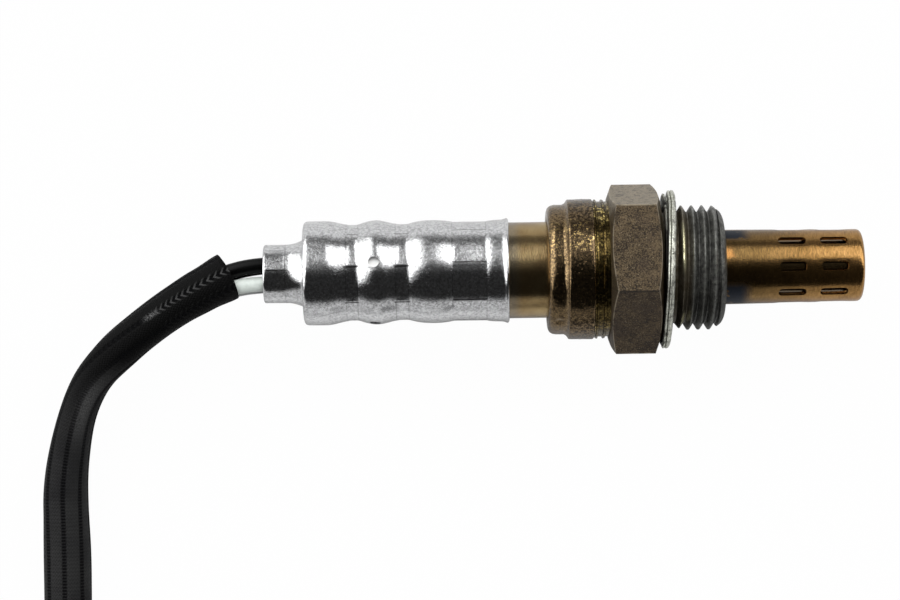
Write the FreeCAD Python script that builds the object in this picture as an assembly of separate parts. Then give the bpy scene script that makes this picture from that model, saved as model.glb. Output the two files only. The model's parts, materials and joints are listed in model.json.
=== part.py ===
import FreeCAD, Part
import math
import os

os.makedirs("parts", exist_ok=True)

# Exhaust oxygen sensor with four leads, lying on its side. Millimetres.
# The sensor's axis is +X, from the leads to the sensing tip. The origin is on
# that axis, where the front face of the hexagon clamps the gasket. +Z is up.

Vec = FreeCAD.Vector

# Fits
ROUND_FIT = 0.05            # radial gap round a piece that is seated in another
WIRE_FIT = 0.03             # radial gap round a lead in its rubber hole

# Housing: thread, hexagon and the collar behind it
THREAD_R = 9.0
THREAD_PITCH = 1.5
THREAD_RINGS = 4
THREAD_DEPTH = 0.92
NECK_L = 2.05
NECK_R = 8.05
NOSE_L = 1.15
NOSE_R = 8.4
NOSE_FACE_R = 6.5
HEX_ACROSS = 22.0
HEX_L = 8.0
HEX_FACE_R = 10.2
HEX_CHAMFER_DEG = 30.0
HEX_TURN_DEG = 15.0         # how far a flat is turned away from lying level
GROOVE_L = 2.0
GROOVE_R = 9.9
COLLAR_L = 3.6
COLLAR_R = 10.1
COLLAR_EDGE = 0.2
LIP_L = 2.9
LIP_R = 9.32
LIP_ROUND = 1.1

# Housing: stepped bore
CHAMBER_R = 7.5
CHAMBER_BACKING = 0.5       # steel left between the seat plane and the chamber's floor
THROAT_R = 4.5
TUBE_POCKET_R = 6.25
NOSE_LIP_L = 0.8

# Crush gasket: one strip folded into layers
GASKET_SHEET = 0.45
GASKET_GAP = 0.1
GASKET_LAYERS = 4
GASKET_FOLD_R = 9.2         # its flat faces start here, clear of the thread's crests
GASKET_RIM_R = 11.1
GASKET_TAIL_R = 10.3

# Protection tubes
OUTER_TUBE_R = 5.35
OUTER_TUBE_TIP_R = 5.2
OUTER_TUBE_REACH = 20.2
OUTER_TUBE_WALL = 0.5
OUTER_TUBE_CORNER = 1.2
OUTER_TUBE_DOME = 0.2
TIP_HOLE_R = 1.0
TUBE_FLANGE_T = 0.5
SLOT_ROWS = 8
SLOT_L = 3.85
SLOT_W = 1.38
SLOT_CORNER = 0.55
SLOT_FROM_NOSE = 7.2
SLOT_STEP = 6.0
SLOT_COLUMNS = 2
INNER_TUBE_R = 3.9
INNER_TUBE_WALL = 0.4
INNER_TUBE_END_GAP = 1.1
INNER_HOLE_R = 0.8
INNER_HOLE_COUNT = 6
INNER_HOLE_FROM_NOSE = 3.6

# Ceramic thimble, its heater and what seals it
INSULATOR_L = 3.0
THIMBLE_COLLAR_R = 5.7
THIMBLE_COLLAR_L = 2.5
THIMBLE_STEM_R = 3.5
THIMBLE_TAIL_L = 1.4
THIMBLE_TIP_R = 2.5
THIMBLE_TIP_GAP = 1.6
THIMBLE_BORE_R = 1.7
THIMBLE_CAP = 1.0
HEATER_R = 1.5
HEATER_TAIL_L = 4.8
TALC_L = 5.5
UPPER_INSULATOR_L = 3.0
SEAL_RING_L = 0.6
SEAL_RING_BORE_R = 4.5

# Inner sleeve, pressed against the seal ring by the housing's lip
SLEEVE_R = 6.925
SLEEVE_WALL = 0.5
SLEEVE_FLANGE_T = 0.5
SLEEVE_SHOW = 5.5           # bare stretch between the lip and the rear shell
SLEEVE_RISE_L = 2.4
SLEEVE_REAR_L = 9.0         # how far it reaches into the rear shell

# Rear shell, from its flared front edge to the collar round the leads
SHELL_WALL = 0.5
FLARE_R = 7.54
FLARE_L = 3.1
SEAT_CRIMP_R = 7.15
SEAT_CRIMP_L = 4.7
SEAT_BLEND_L = 2.2
FRONT_BULGE_R = 7.43
FRONT_BULGE_L = 1.2
FRONT_BLEND_L = 3.5
WAIST_R = 6.9
FRONT_WAIST_L = 1.2
MIDDLE_FRONT_BLEND_L = 2.5
BULGE_R = 7.5
MIDDLE_BULGE_L = 0.8
MIDDLE_REAR_BLEND_L = 2.6
REAR_WAIST_L = 1.2
REAR_BLEND_L = 2.7
REAR_BULGE_L = 2.5
SHOULDER_ROUND = 1.3
CUFF_FLARE_R = 4.75
CUFF_FLARE_L = 2.2
CUFF_R = 4.22
CUFF_L = 3.6
CUFF_EDGE = 0.25
JAWS = 8
JAW_DEPTH = 0.1
JAW_OVERLAP = 0.45
JAW_START_DEG = -8.0
VENT_R = 0.8
VENT_COUNT = 4
VENT_BEHIND = 0.5           # how far the vents sit behind the middle of their bulge
VENT_START_DEG = -11.3

# Rubber grommet, vent membrane, contact parts
MEMBRANE_R = 6.7
MEMBRANE_T = 0.4
MEMBRANE_L = 2.2
SPRING_L = 0.8
SPRING_T = 0.35
SPRING_BORE_R = 3.3
HOLDER_L = 16.9
HOLDER_BORE_R = 1.15
TERMINAL_R = 0.95
TERMINAL_BARREL_L = 7.5
TERMINAL_STRIP_W = 1.5
TERMINAL_STRIP_T = 0.5
TERMINAL_TIP_L = 3.5
TERMINAL_TIP_T = 0.26

# Leads and their sleeve
WIRE_R = 1.08
WIRE_OFFSET = 1.38          # each lead's distance from the axis, along Y and along Z
WIRE_INSET = 0.8            # how far a lead reaches past the grommet's front face
CORD_R = 3.4
CORD_FLOOR_GAP = 0.02

# Coil of the spare length, and the tie round it
COIL_X = -50.0
COIL_Y = -93.0
COIL_R = 37.5
COIL_STEPS = 16
COIL_POINTS = 20
COIL_STACK = 6.9            # height of the second strand over the first
COIL_RISE = (0.12, 0.48, 0.9)
TIE_DEG = 225.0
TIE_W = 4.2
TIE_T = 1.0
TIE_PINCH = 0.65
TIE_HEAD = (5.2, 6.0, 3.4)
TIE_END_L = 4.0

# Connector
CONNECTOR_REAR_X = -7.0
CONNECTOR_L = 34.0
SOCKET_L = 20.0
SOCKET_W = 19.0
SOCKET_H = 15.6
SOCKET_WALL = 1.6
SOCKET_CORNER = 2.6
SOCKET_FLOOR = 2.0
BODY_W = 15.6
BODY_H = 12.6
BODY_CORNER = 1.8
SEAL_CAVITY_W = 12.8
SEAL_CAVITY_H = 9.8
SEAL_CAVITY_L = 6.0
SEAL_RIB = 0.5
PIN_OFFSET = 2.2            # each pin's distance from the connector's middle, along Y and Z
PIN_R = 0.75
PIN_INSET = 6.5             # from the pin's tip to the socket's rim
PIN_BARREL_R = 1.25
PIN_BARREL_L = 7.0
PIN_BORE_R = 1.4
LOCK_T = 2.5
CAP_L = 2.5
CAP_SKIRT_L = 5.0
CAP_WALL = 0.9
CAP_HOLE_R = 1.35
LATCH_L = 6.0
LATCH_W = 6.0
LATCH_RISE = 1.6
LATCH_FROM_RIM = 7.0
KEY_W = 1.2
KEY_RISE = 0.9
KEY_Z = 3.6

# Places along the axis
HEX_CORNER_R = HEX_ACROSS / 2 / math.cos(math.radians(30))
FLOOR_Z = -HEX_CORNER_R * math.cos(math.radians(HEX_TURN_DEG))
THREAD_FLAT = THREAD_PITCH / 8
THREAD_FLANK = (THREAD_PITCH - 2 * THREAD_FLAT) / 2
THREAD_ROOT_R = THREAD_R - THREAD_DEPTH
THREAD_END_X = NECK_L + THREAD_RINGS * THREAD_PITCH
NOSE_X = THREAD_END_X + NOSE_L
HEX_REAR_X = -HEX_L
GROOVE_REAR_X = HEX_REAR_X - GROOVE_L
COLLAR_REAR_X = GROOVE_REAR_X - COLLAR_L
LIP_REAR_X = COLLAR_REAR_X - LIP_L

CHAMBER_X = -CHAMBER_BACKING
INSULATOR_REAR_X = CHAMBER_X - INSULATOR_L
TALC_REAR_X = INSULATOR_REAR_X - TALC_L
UPPER_REAR_X = TALC_REAR_X - UPPER_INSULATOR_L
SEAL_REAR_X = UPPER_REAR_X - SEAL_RING_L
CHAMBER_REAR_X = SEAL_REAR_X - SLEEVE_FLANGE_T
POCKET_FRONT_X = NOSE_X - NOSE_LIP_L
POCKET_REAR_X = POCKET_FRONT_X - 2 * TUBE_FLANGE_T

SHELL_FRONT_X = LIP_REAR_X - SLEEVE_SHOW
SEAT_FRONT_X = SHELL_FRONT_X - FLARE_L
SEAT_REAR_X = SEAT_FRONT_X - SEAT_CRIMP_L
FRONT_BULGE_X = SEAT_REAR_X - SEAT_BLEND_L
FRONT_BULGE_REAR_X = FRONT_BULGE_X - FRONT_BULGE_L
FRONT_WAIST_X = FRONT_BULGE_REAR_X - FRONT_BLEND_L
FRONT_WAIST_REAR_X = FRONT_WAIST_X - FRONT_WAIST_L
MIDDLE_BULGE_X = FRONT_WAIST_REAR_X - MIDDLE_FRONT_BLEND_L
MIDDLE_BULGE_REAR_X = MIDDLE_BULGE_X - MIDDLE_BULGE_L
REAR_WAIST_X = MIDDLE_BULGE_REAR_X - MIDDLE_REAR_BLEND_L
REAR_WAIST_REAR_X = REAR_WAIST_X - REAR_WAIST_L
REAR_BULGE_X = REAR_WAIST_REAR_X - REAR_BLEND_L
REAR_BULGE_REAR_X = REAR_BULGE_X - REAR_BULGE_L
SHOULDER_X = REAR_BULGE_REAR_X - SHOULDER_ROUND
CUFF_X = SHOULDER_X - CUFF_FLARE_L
CUFF_REAR_X = CUFF_X - CUFF_L
VENT_X = (MIDDLE_BULGE_X + MIDDLE_BULGE_REAR_X) / 2 - VENT_BEHIND
SLEEVE_REAR_X = SHELL_FRONT_X - SLEEVE_REAR_L
GROMMET_FRONT_X = FRONT_WAIST_X
HOLDER_REAR_X = GROMMET_FRONT_X + SPRING_L

# Places of the harness
CORD_Z = FLOOR_Z + CORD_R + CORD_FLOOR_GAP
CONNECTOR_Y = COIL_Y - COIL_R
CONNECTOR_Z = FLOOR_Z + SOCKET_H / 2
MOUTH = Vec(-62.6, -0.2, 0.0)
TAIL_END_X = CONNECTOR_REAR_X - CAP_L - 6.0

# Points of the sleeve's route, from its mouth to the coil
LEAD_IN = [
    MOUTH,
    Vec(-70.2, -4.5, -1.2),
    Vec(-79.0, -10.9, -4.4),
    Vec(-84.9, -18.2, -7.0),
    Vec(-87.5, -27.2, -8.5),
    Vec(-88.1, -39.0, CORD_Z),
    Vec(-88.6, -57.0, CORD_Z),
    Vec(-88.2, -79.0, CORD_Z),
]
TAIL = [
    Vec(-37.0, CONNECTOR_Y + 0.2, CORD_Z + COIL_STACK + 0.4),
    Vec(-26.0, CONNECTOR_Y, CONNECTOR_Z),
    Vec(TAIL_END_X, CONNECTOR_Y, CONNECTOR_Z),
]


def export(shape, node):
    """Write one sub-part, named after its node."""
    shape.exportStep("parts/%s.step" % node)


def line(start, end):
    return Part.LineSegment(start, end).toShape()


def outline(start, *steps):
    """Edges in the XY plane: a step is (x, r), or (x, r, x, r) for an arc by way of its first point."""
    edges = []
    here = Vec(start[0], start[1], 0)
    for step in steps:
        end = Vec(step[-2], step[-1], 0)
        if len(step) == 4:
            edges.append(Part.Arc(here, Vec(step[0], step[1], 0), end).toShape())
        else:
            edges.append(line(here, end))
        here = end
    return edges


def s_curve(x0, r0, x1, r1):
    """Two arcs that leave both ends parallel to the axis and meet half way."""
    half_x, half_r = (x1 - x0) / 2, (r1 - r0) / 2
    radius = (half_x ** 2 + half_r ** 2) / (2 * abs(half_r))
    half_turn = math.asin(abs(half_x) / radius) / 2
    step_x = math.copysign(radius * math.sin(half_turn), half_x)
    step_r = math.copysign(radius * (1 - math.cos(half_turn)), half_r)
    middle = (x0 + half_x, r0 + half_r)
    return [(x0 + step_x, r0 + step_r) + middle, (x1 - step_x, r1 - step_r, x1, r1)]


def turned(edges):
    """Solid turned about the X axis from a closed set of edges."""
    wire = Part.Wire(Part.__sortEdges__(edges))
    return Part.Face(wire).revolve(Vec(0, 0, 0), Vec(1, 0, 0), 360)


def ring(x0, x1, bore_r, outer_r):
    low, high = min(x0, x1), max(x0, x1)
    return turned(outline((low, bore_r), (high, bore_r), (high, outer_r), (low, outer_r), (low, bore_r)))


def rod(x0, x1, radius, y=0.0, z=0.0):
    return Part.makeCylinder(radius, abs(x1 - x0), Vec(min(x0, x1), y, z), Vec(1, 0, 0))


def spokes(count, start_deg=0.0):
    """Unit directions round the axis, counted from straight up towards -Y."""
    angles = [math.radians(start_deg + 360.0 / count * k) for k in range(count)]
    return [Vec(0, -math.sin(a), math.cos(a)) for a in angles]


def rounded_bar(x0, x1, width, height, corner, y=0.0, z=0.0):
    """Bar along X with a rounded rectangle for its section."""
    w, h, c = width / 2, height / 2, corner
    k = c * (1 - math.sqrt(0.5))
    sides = [(w, h), (-w, h), (-w, -h), (w, -h)]
    edges = []
    for i, (py, pz) in enumerate(sides):
        sy, sz = math.copysign(1, py), math.copysign(1, pz)
        on_side = Vec(x0, y + py, z + pz - sz * c)
        on_top = Vec(x0, y + py - sy * c, z + pz)
        bend = Vec(x0, y + py - sy * k, z + pz - sz * k)
        first, last = (on_side, on_top) if i % 2 == 0 else (on_top, on_side)
        edges.append(Part.Arc(first, bend, last).toShape())
    joined = []
    for i, arc in enumerate(edges):
        joined.append(arc)
        joined.append(line(arc.Vertexes[-1].Point, edges[(i + 1) % 4].Vertexes[0].Point))
    return Part.Face(Part.Wire(joined)).extrude(Vec(x1 - x0, 0, 0))


def route_pieces(points):
    """Straight runs joined by tangent arcs: a list of runs and a list of the arcs between them."""
    turns = []
    for before, here, after in zip(points, points[1:], points[2:]):
        into, out = here - before, after - here
        half_turn = into.getAngle(out) / 2
        reach = 0.45 * min(into.Length, out.Length)
        radius = reach / math.tan(half_turn)
        a = here - into * (reach / into.Length)
        b = here + out * (reach / out.Length)
        towards = (a + b) * 0.5 - here
        crown = here + towards * ((radius / math.cos(half_turn) - radius) / towards.Length)
        turns.append((a, crown, b, radius))
    starts = [points[0]] + [turn[2] for turn in turns]
    ends = [turn[0] for turn in turns] + [points[-1]]
    return list(zip(starts, ends)), turns


def tube(runs, turns, radius):
    """Round tube along runs and turns, with its length."""
    edges = []
    for i, (start, end) in enumerate(runs):
        edges.append(line(start, end))
        if i < len(turns):
            a, crown, b, _ = turns[i]
            edges.append(Part.Arc(a, crown, b).toShape())
    path = Part.Wire(edges)
    start, heading = runs[0][0], runs[0][1] - runs[0][0]
    section = Part.Wire([Part.makeCircle(radius, start, heading)])
    return path.makePipeShell([section], True, False), path.Length


def wire_places(offset):
    """Where the four leads pass, as (name, y, z) about their bundle's middle."""
    return [
        ("wire_black_front", offset, offset),
        ("wire_white", -offset, offset),
        ("wire_black_rear", offset, -offset),
        ("wire_grey", -offset, -offset),
    ]


def build_housing():
    """Steel body, turned from hexagon bar: thread, seat, hexagon, collar and rolled lip."""
    steps = [(0, NECK_R), (NECK_L, NECK_R), (NECK_L, THREAD_ROOT_R)]
    for k in range(THREAD_RINGS):
        x = NECK_L + k * THREAD_PITCH
        steps.append((x + THREAD_FLANK, THREAD_R))
        steps.append((x + THREAD_FLANK + THREAD_FLAT, THREAD_R))
        steps.append((x + 2 * THREAD_FLANK + THREAD_FLAT, THREAD_ROOT_R))
        steps.append((x + THREAD_PITCH, THREAD_ROOT_R))
    bevel_x = THREAD_END_X + NOSE_L / 4
    cone_x = NOSE_X - NOSE_L / 3
    cone_r = (NOSE_R + NOSE_FACE_R) / 2
    steps += [(bevel_x, NOSE_R), (cone_x, cone_r)]
    steps.append((NOSE_X - NOSE_L * 0.08, cone_r - (cone_r - NOSE_FACE_R) * 0.62, NOSE_X, NOSE_FACE_R))
    lip_bore_r = SLEEVE_R + ROUND_FIT
    tube_bore_r = OUTER_TUBE_R + ROUND_FIT
    bore = [
        (NOSE_X, tube_bore_r),
        (POCKET_FRONT_X, tube_bore_r),
        (POCKET_FRONT_X, TUBE_POCKET_R),
        (POCKET_REAR_X, TUBE_POCKET_R),
        (POCKET_REAR_X, THROAT_R),
        (CHAMBER_X, THROAT_R),
        (CHAMBER_X, CHAMBER_R),
        (CHAMBER_REAR_X, CHAMBER_R),
        (CHAMBER_REAR_X, lip_bore_r),
        (LIP_REAR_X, lip_bore_r),
    ]
    lip_turn_x = LIP_REAR_X + LIP_ROUND
    rear = [
        (LIP_REAR_X, LIP_R - LIP_ROUND),
        (LIP_REAR_X + 0.3 * LIP_ROUND, LIP_R - 0.3 * LIP_ROUND, lip_turn_x, LIP_R),
        (COLLAR_REAR_X - COLLAR_EDGE, LIP_R + COLLAR_EDGE),
        (COLLAR_REAR_X, COLLAR_R - COLLAR_EDGE),
        (COLLAR_REAR_X + COLLAR_EDGE, COLLAR_R),
        (GROOVE_REAR_X - COLLAR_EDGE, COLLAR_R),
        (GROOVE_REAR_X, GROOVE_R),
        (HEX_REAR_X, GROOVE_R),
        (HEX_REAR_X, NECK_R),
        (0, NECK_R),
    ]
    body = turned(outline((0, NECK_R), *steps[1:], *bore, *rear))

    chamfer = math.tan(math.radians(HEX_CHAMFER_DEG))
    bevel = (HEX_CORNER_R - HEX_FACE_R) * chamfer + 0.1
    over_r = HEX_FACE_R + bevel / chamfer
    blank = turned(outline(
        (0, NECK_R - 0.2), (0, HEX_FACE_R), (-bevel, over_r), (HEX_REAR_X + bevel, over_r),
        (HEX_REAR_X, HEX_FACE_R), (HEX_REAR_X, NECK_R - 0.2), (0, NECK_R - 0.2)))
    corners = []
    for k in range(7):
        angle = math.radians(HEX_TURN_DEG + 30 + 60 * k)
        corners.append(Vec(HEX_REAR_X, HEX_CORNER_R * math.cos(angle), HEX_CORNER_R * math.sin(angle)))
    prism = Part.Face(Part.makePolygon(corners)).extrude(Vec(HEX_L, 0, 0))
    return body.fuse(blank.common(prism)).removeSplitter()


def build_gasket():
    """Crush ring: a strip folded back and forth, its layers open at the rim."""
    pitch = GASKET_SHEET + GASKET_GAP
    half = GASKET_SHEET / 2
    middles = [half + pitch * k for k in range(GASKET_LAYERS)]
    sides = ([], [])
    for k, middle in enumerate(middles):
        last = k == GASKET_LAYERS - 1
        for side, chain in zip((-1, 1), sides):
            inward = side if k % 2 == 0 else -side
            x = middle + inward * half
            top = GASKET_TAIL_R if last else GASKET_RIM_R
            chain.append((x, top, GASKET_FOLD_R))
    edges = []
    for chain in sides:
        for k, (x, top, low) in enumerate(chain):
            edges.append(line(Vec(x, top, 0), Vec(x, low, 0)))
            if k + 1 < len(chain):
                x_next = chain[k + 1][0]
                turn_r = low if k % 2 == 0 else GASKET_RIM_R
                if k + 2 == len(chain) and k % 2 == 1:
                    turn_r = GASKET_TAIL_R
                reach = abs(x_next - x) / 2 * (-1 if k % 2 == 0 else 1)
                crown = Vec((x + x_next) / 2, turn_r + reach, 0)
                edges.append(Part.Arc(Vec(x, turn_r, 0), crown, Vec(x_next, turn_r, 0)).toShape())
    for k, top in ((0, GASKET_RIM_R), (GASKET_LAYERS - 1, GASKET_TAIL_R)):
        x0, x1 = sides[0][k][0], sides[1][k][0]
        edges.append(Part.Arc(Vec(x0, top, 0), Vec((x0 + x1) / 2, top + half, 0), Vec(x1, top, 0)).toShape())
    return turned(edges)


def tube_outline(flange_x, bore_r, start_r, tip_r, end_x, corner, wall, dome, hole_r):
    """Closed tube of sheet with a flange, a rounded end and a hole in the end's middle."""
    flange_front = flange_x + TUBE_FLANGE_T
    flange_r = TUBE_POCKET_R - ROUND_FIT
    turn_x = end_x - dome - corner
    k = corner * (1 - math.sqrt(0.5))
    inner_corner = corner - wall
    ki = inner_corner * (1 - math.sqrt(0.5))
    dome_middle = (hole_r + tip_r - corner) / 2
    return outline(
        (flange_x, bore_r),
        (flange_x, flange_r),
        (flange_front, flange_r),
        (flange_front, start_r),
        (turn_x, tip_r),
        (end_x - dome - k, tip_r - k, end_x - dome, tip_r - corner),
        (end_x - dome * 0.3, dome_middle, end_x, hole_r),
        (end_x - wall, hole_r),
        (end_x - wall - dome * 0.7, dome_middle, end_x - wall - dome, tip_r - corner),
        (end_x - wall - dome - ki, tip_r - wall - ki, turn_x, tip_r - wall),
        (flange_x, bore_r),
    )


def build_outer_tube():
    """Outer protection tube with two rings of gas slots."""
    end_x = NOSE_X + OUTER_TUBE_REACH
    shape = turned(tube_outline(
        POCKET_REAR_X + TUBE_FLANGE_T, OUTER_TUBE_R - OUTER_TUBE_WALL, OUTER_TUBE_R, OUTER_TUBE_TIP_R,
        end_x, OUTER_TUBE_CORNER, OUTER_TUBE_WALL, OUTER_TUBE_DOME, TIP_HOLE_R))
    cutters = []
    inside = (INNER_TUBE_R + OUTER_TUBE_TIP_R - OUTER_TUBE_WALL) / 2
    for column in range(SLOT_COLUMNS):
        x = NOSE_X + SLOT_FROM_NOSE + column * SLOT_STEP
        slot = rounded_bar(inside, OUTER_TUBE_R + 1, SLOT_W, SLOT_L, SLOT_CORNER)
        slot.rotate(Vec(0, 0, 0), Vec(0, 1, 0), -90)
        slot.translate(Vec(x + SLOT_L / 2, 0, 0))
        for row in range(SLOT_ROWS):
            turned_slot = slot.copy()
            turned_slot.rotate(Vec(0, 0, 0), Vec(1, 0, 0), 360.0 / SLOT_ROWS * row)
            cutters.append(turned_slot)
    return shape.cut(Part.makeCompound(cutters))


def build_inner_tube():
    """Inner protection tube, with its holes near the root so that gas has to turn twice."""
    end_x = NOSE_X + OUTER_TUBE_REACH - OUTER_TUBE_WALL - INNER_TUBE_END_GAP
    shape = turned(tube_outline(
        POCKET_REAR_X, INNER_TUBE_R - INNER_TUBE_WALL, INNER_TUBE_R, INNER_TUBE_R,
        end_x, OUTER_TUBE_CORNER, INNER_TUBE_WALL, OUTER_TUBE_DOME, TIP_HOLE_R))
    x = NOSE_X + INNER_HOLE_FROM_NOSE
    middle = Vec(x, 0, 0)
    half_step = 180.0 / INNER_HOLE_COUNT
    drills = [Part.makeCylinder(INNER_HOLE_R, INNER_TUBE_R + 1, middle, way)
              for way in spokes(INNER_HOLE_COUNT, half_step)]
    return shape.cut(Part.makeCompound(drills))


def build_thimble():
    """Ceramic sensing element, closed at the tip, with the collar that carries it."""
    inner_end_x = NOSE_X + OUTER_TUBE_REACH - OUTER_TUBE_WALL - INNER_TUBE_END_GAP - INNER_TUBE_WALL
    tip_x = inner_end_x - THIMBLE_TIP_GAP
    ball_x = tip_x - THIMBLE_TIP_R
    bore_end_x = tip_x - THIMBLE_CAP
    collar_rear_x = INSULATOR_REAR_X - THIMBLE_COLLAR_L
    rear_x = SEAL_REAR_X - THIMBLE_TAIL_L
    diagonal = THIMBLE_TIP_R * math.sqrt(0.5)
    return turned(outline(
        (rear_x, THIMBLE_BORE_R),
        (rear_x, THIMBLE_STEM_R),
        (collar_rear_x, THIMBLE_STEM_R),
        (collar_rear_x, THIMBLE_COLLAR_R),
        (INSULATOR_REAR_X, THIMBLE_COLLAR_R),
        (INSULATOR_REAR_X, THIMBLE_STEM_R),
        (CHAMBER_X, THIMBLE_STEM_R),
        (POCKET_REAR_X, THIMBLE_TIP_R),
        (ball_x, THIMBLE_TIP_R),
        (ball_x + diagonal, diagonal, tip_x, 0),
        (bore_end_x, 0),
        (bore_end_x, THIMBLE_BORE_R),
        (rear_x, THIMBLE_BORE_R),
    )), bore_end_x


def build_heater(bore_end_x):
    rear_x = SEAL_REAR_X - THIMBLE_TAIL_L - HEATER_TAIL_L
    shape = rod(rear_x, bore_end_x, HEATER_R)
    tip = [edge for edge in shape.Edges if abs(edge.CenterOfMass.x - bore_end_x) < 0.01]
    return shape.makeChamfer(HEATER_R * 0.2, tip)


def build_talc():
    """Pressed powder seal, round the thimble's collar and stem."""
    collar_rear_x = INSULATOR_REAR_X - THIMBLE_COLLAR_L
    outer = CHAMBER_R - ROUND_FIT
    collar = THIMBLE_COLLAR_R + ROUND_FIT
    stem = THIMBLE_STEM_R + ROUND_FIT
    return turned(outline(
        (INSULATOR_REAR_X, collar), (INSULATOR_REAR_X, outer), (TALC_REAR_X, outer),
        (TALC_REAR_X, stem), (collar_rear_x, stem), (collar_rear_x, collar), (INSULATOR_REAR_X, collar)))


def build_inner_sleeve():
    """Heat tinted sleeve: flange under the housing's lip, bare barrel, neck inside the rear shell."""
    neck_r = SEAT_CRIMP_R - SHELL_WALL - ROUND_FIT
    rise_x = SEAT_FRONT_X + 0.2 * FLARE_L
    full_x = rise_x + SLEEVE_RISE_L
    flange_r = CHAMBER_R - ROUND_FIT
    inner = -SLEEVE_WALL
    outside = outline(
        (SLEEVE_REAR_X, neck_r), (rise_x, neck_r), *s_curve(rise_x, neck_r, full_x, SLEEVE_R),
        (CHAMBER_REAR_X, SLEEVE_R), (CHAMBER_REAR_X, flange_r), (SEAL_REAR_X, flange_r))
    inside = outline(
        (SLEEVE_REAR_X, neck_r), (SLEEVE_REAR_X, neck_r + inner), (rise_x, neck_r + inner),
        *s_curve(rise_x, neck_r + inner, full_x, SLEEVE_R + inner),
        (SEAL_REAR_X, SLEEVE_R + inner), (SEAL_REAR_X, flange_r))
    return turned(outside + inside)


def shell_line(offset, front=True):
    """The rear shell's long profile from its shoulder forwards, moved in or out by offset."""
    bulge, waist = BULGE_R + offset, WAIST_R + offset
    steps = [
        (REAR_BULGE_X, bulge),
        *s_curve(REAR_BULGE_X, bulge, REAR_WAIST_REAR_X, waist),
        (REAR_WAIST_X, waist),
        *s_curve(REAR_WAIST_X, waist, MIDDLE_BULGE_REAR_X, bulge),
        (MIDDLE_BULGE_X, bulge),
        *s_curve(MIDDLE_BULGE_X, bulge, FRONT_WAIST_REAR_X, waist),
        (FRONT_WAIST_X, waist),
    ]
    if front:
        front_bulge, seat, flare = FRONT_BULGE_R + offset, SEAT_CRIMP_R + offset, FLARE_R + offset
        steps += [
            *s_curve(FRONT_WAIST_X, waist, FRONT_BULGE_REAR_X, front_bulge),
            (FRONT_BULGE_X, front_bulge),
            *s_curve(FRONT_BULGE_X, front_bulge, SEAT_REAR_X, seat),
            (SEAT_FRONT_X, seat),
            *s_curve(SEAT_FRONT_X, seat, SHELL_FRONT_X, flare),
        ]
    return steps


def jaw_marks(x0, x1, radius):
    """What the jaws of a crimping tool press away between x0 and x1."""
    corners = [way * (radius + 0.01) for way in spokes(JAWS, JAW_START_DEG)]
    middles = [way * (radius - JAW_DEPTH) for way in spokes(JAWS, JAW_START_DEG + 180.0 / JAWS)]
    base = Vec(x0, 0, 0)
    arcs = [Part.Arc(base + corners[k], base + middles[k], base + corners[(k + 1) % JAWS]).toShape()
            for k in range(JAWS)]
    kept = Part.Face(Part.Wire(arcs)).extrude(Vec(x1 - x0, 0, 0))
    return rod(x0, x1, radius + 1.5).cut(kept)


def build_rear_shell():
    """Stainless shell: flared mouth, crimped seat, two crimped waists, shoulder and cuff."""
    k = SHOULDER_ROUND * (1 - math.sqrt(0.5))
    inner_round = SHOULDER_ROUND - SHELL_WALL
    ki = inner_round * (1 - math.sqrt(0.5))
    face_x = SHOULDER_X + SHELL_WALL
    inner_r = BULGE_R - SHELL_WALL
    cuff_bore_r = CUFF_R - SHELL_WALL
    blend_x = SHOULDER_X - 0.2 * CUFF_FLARE_L
    outside = outline(
        (CUFF_REAR_X, CUFF_R - CUFF_EDGE),
        (CUFF_REAR_X + CUFF_EDGE, CUFF_R),
        (CUFF_X, CUFF_R),
        (blend_x, CUFF_FLARE_R - 0.25 * (CUFF_FLARE_R - CUFF_R)),
        (SHOULDER_X, CUFF_FLARE_R),
        (SHOULDER_X, BULGE_R - SHOULDER_ROUND),
        (SHOULDER_X + k, BULGE_R - k, REAR_BULGE_REAR_X, BULGE_R),
        *shell_line(0.0),
    )
    inside = outline(
        (CUFF_REAR_X, CUFF_R - CUFF_EDGE),
        (CUFF_REAR_X, cuff_bore_r),
        (face_x, cuff_bore_r),
        (face_x, inner_r - inner_round),
        (face_x + ki, inner_r - ki, REAR_BULGE_REAR_X, inner_r),
        *shell_line(-SHELL_WALL),
        (SHELL_FRONT_X, FLARE_R),
    )
    shape = turned(outside + inside)
    marks = [
        jaw_marks(REAR_WAIST_REAR_X - JAW_OVERLAP, REAR_WAIST_X + JAW_OVERLAP, WAIST_R),
        jaw_marks(FRONT_WAIST_REAR_X - JAW_OVERLAP, FRONT_WAIST_X + JAW_OVERLAP, WAIST_R),
        jaw_marks(SEAT_REAR_X - JAW_OVERLAP, SEAT_FRONT_X, SEAT_CRIMP_R),
        jaw_marks(CUFF_REAR_X + CUFF_EDGE, CUFF_X - JAW_OVERLAP, CUFF_R),
    ]
    for mark in marks:
        shape = shape.cut(mark)
    vents = [Part.makeCylinder(VENT_R, BULGE_R + 1, Vec(VENT_X, 0, 0), way)
             for way in spokes(VENT_COUNT, VENT_START_DEG)]
    return shape.cut(Part.makeCompound(vents))


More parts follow.
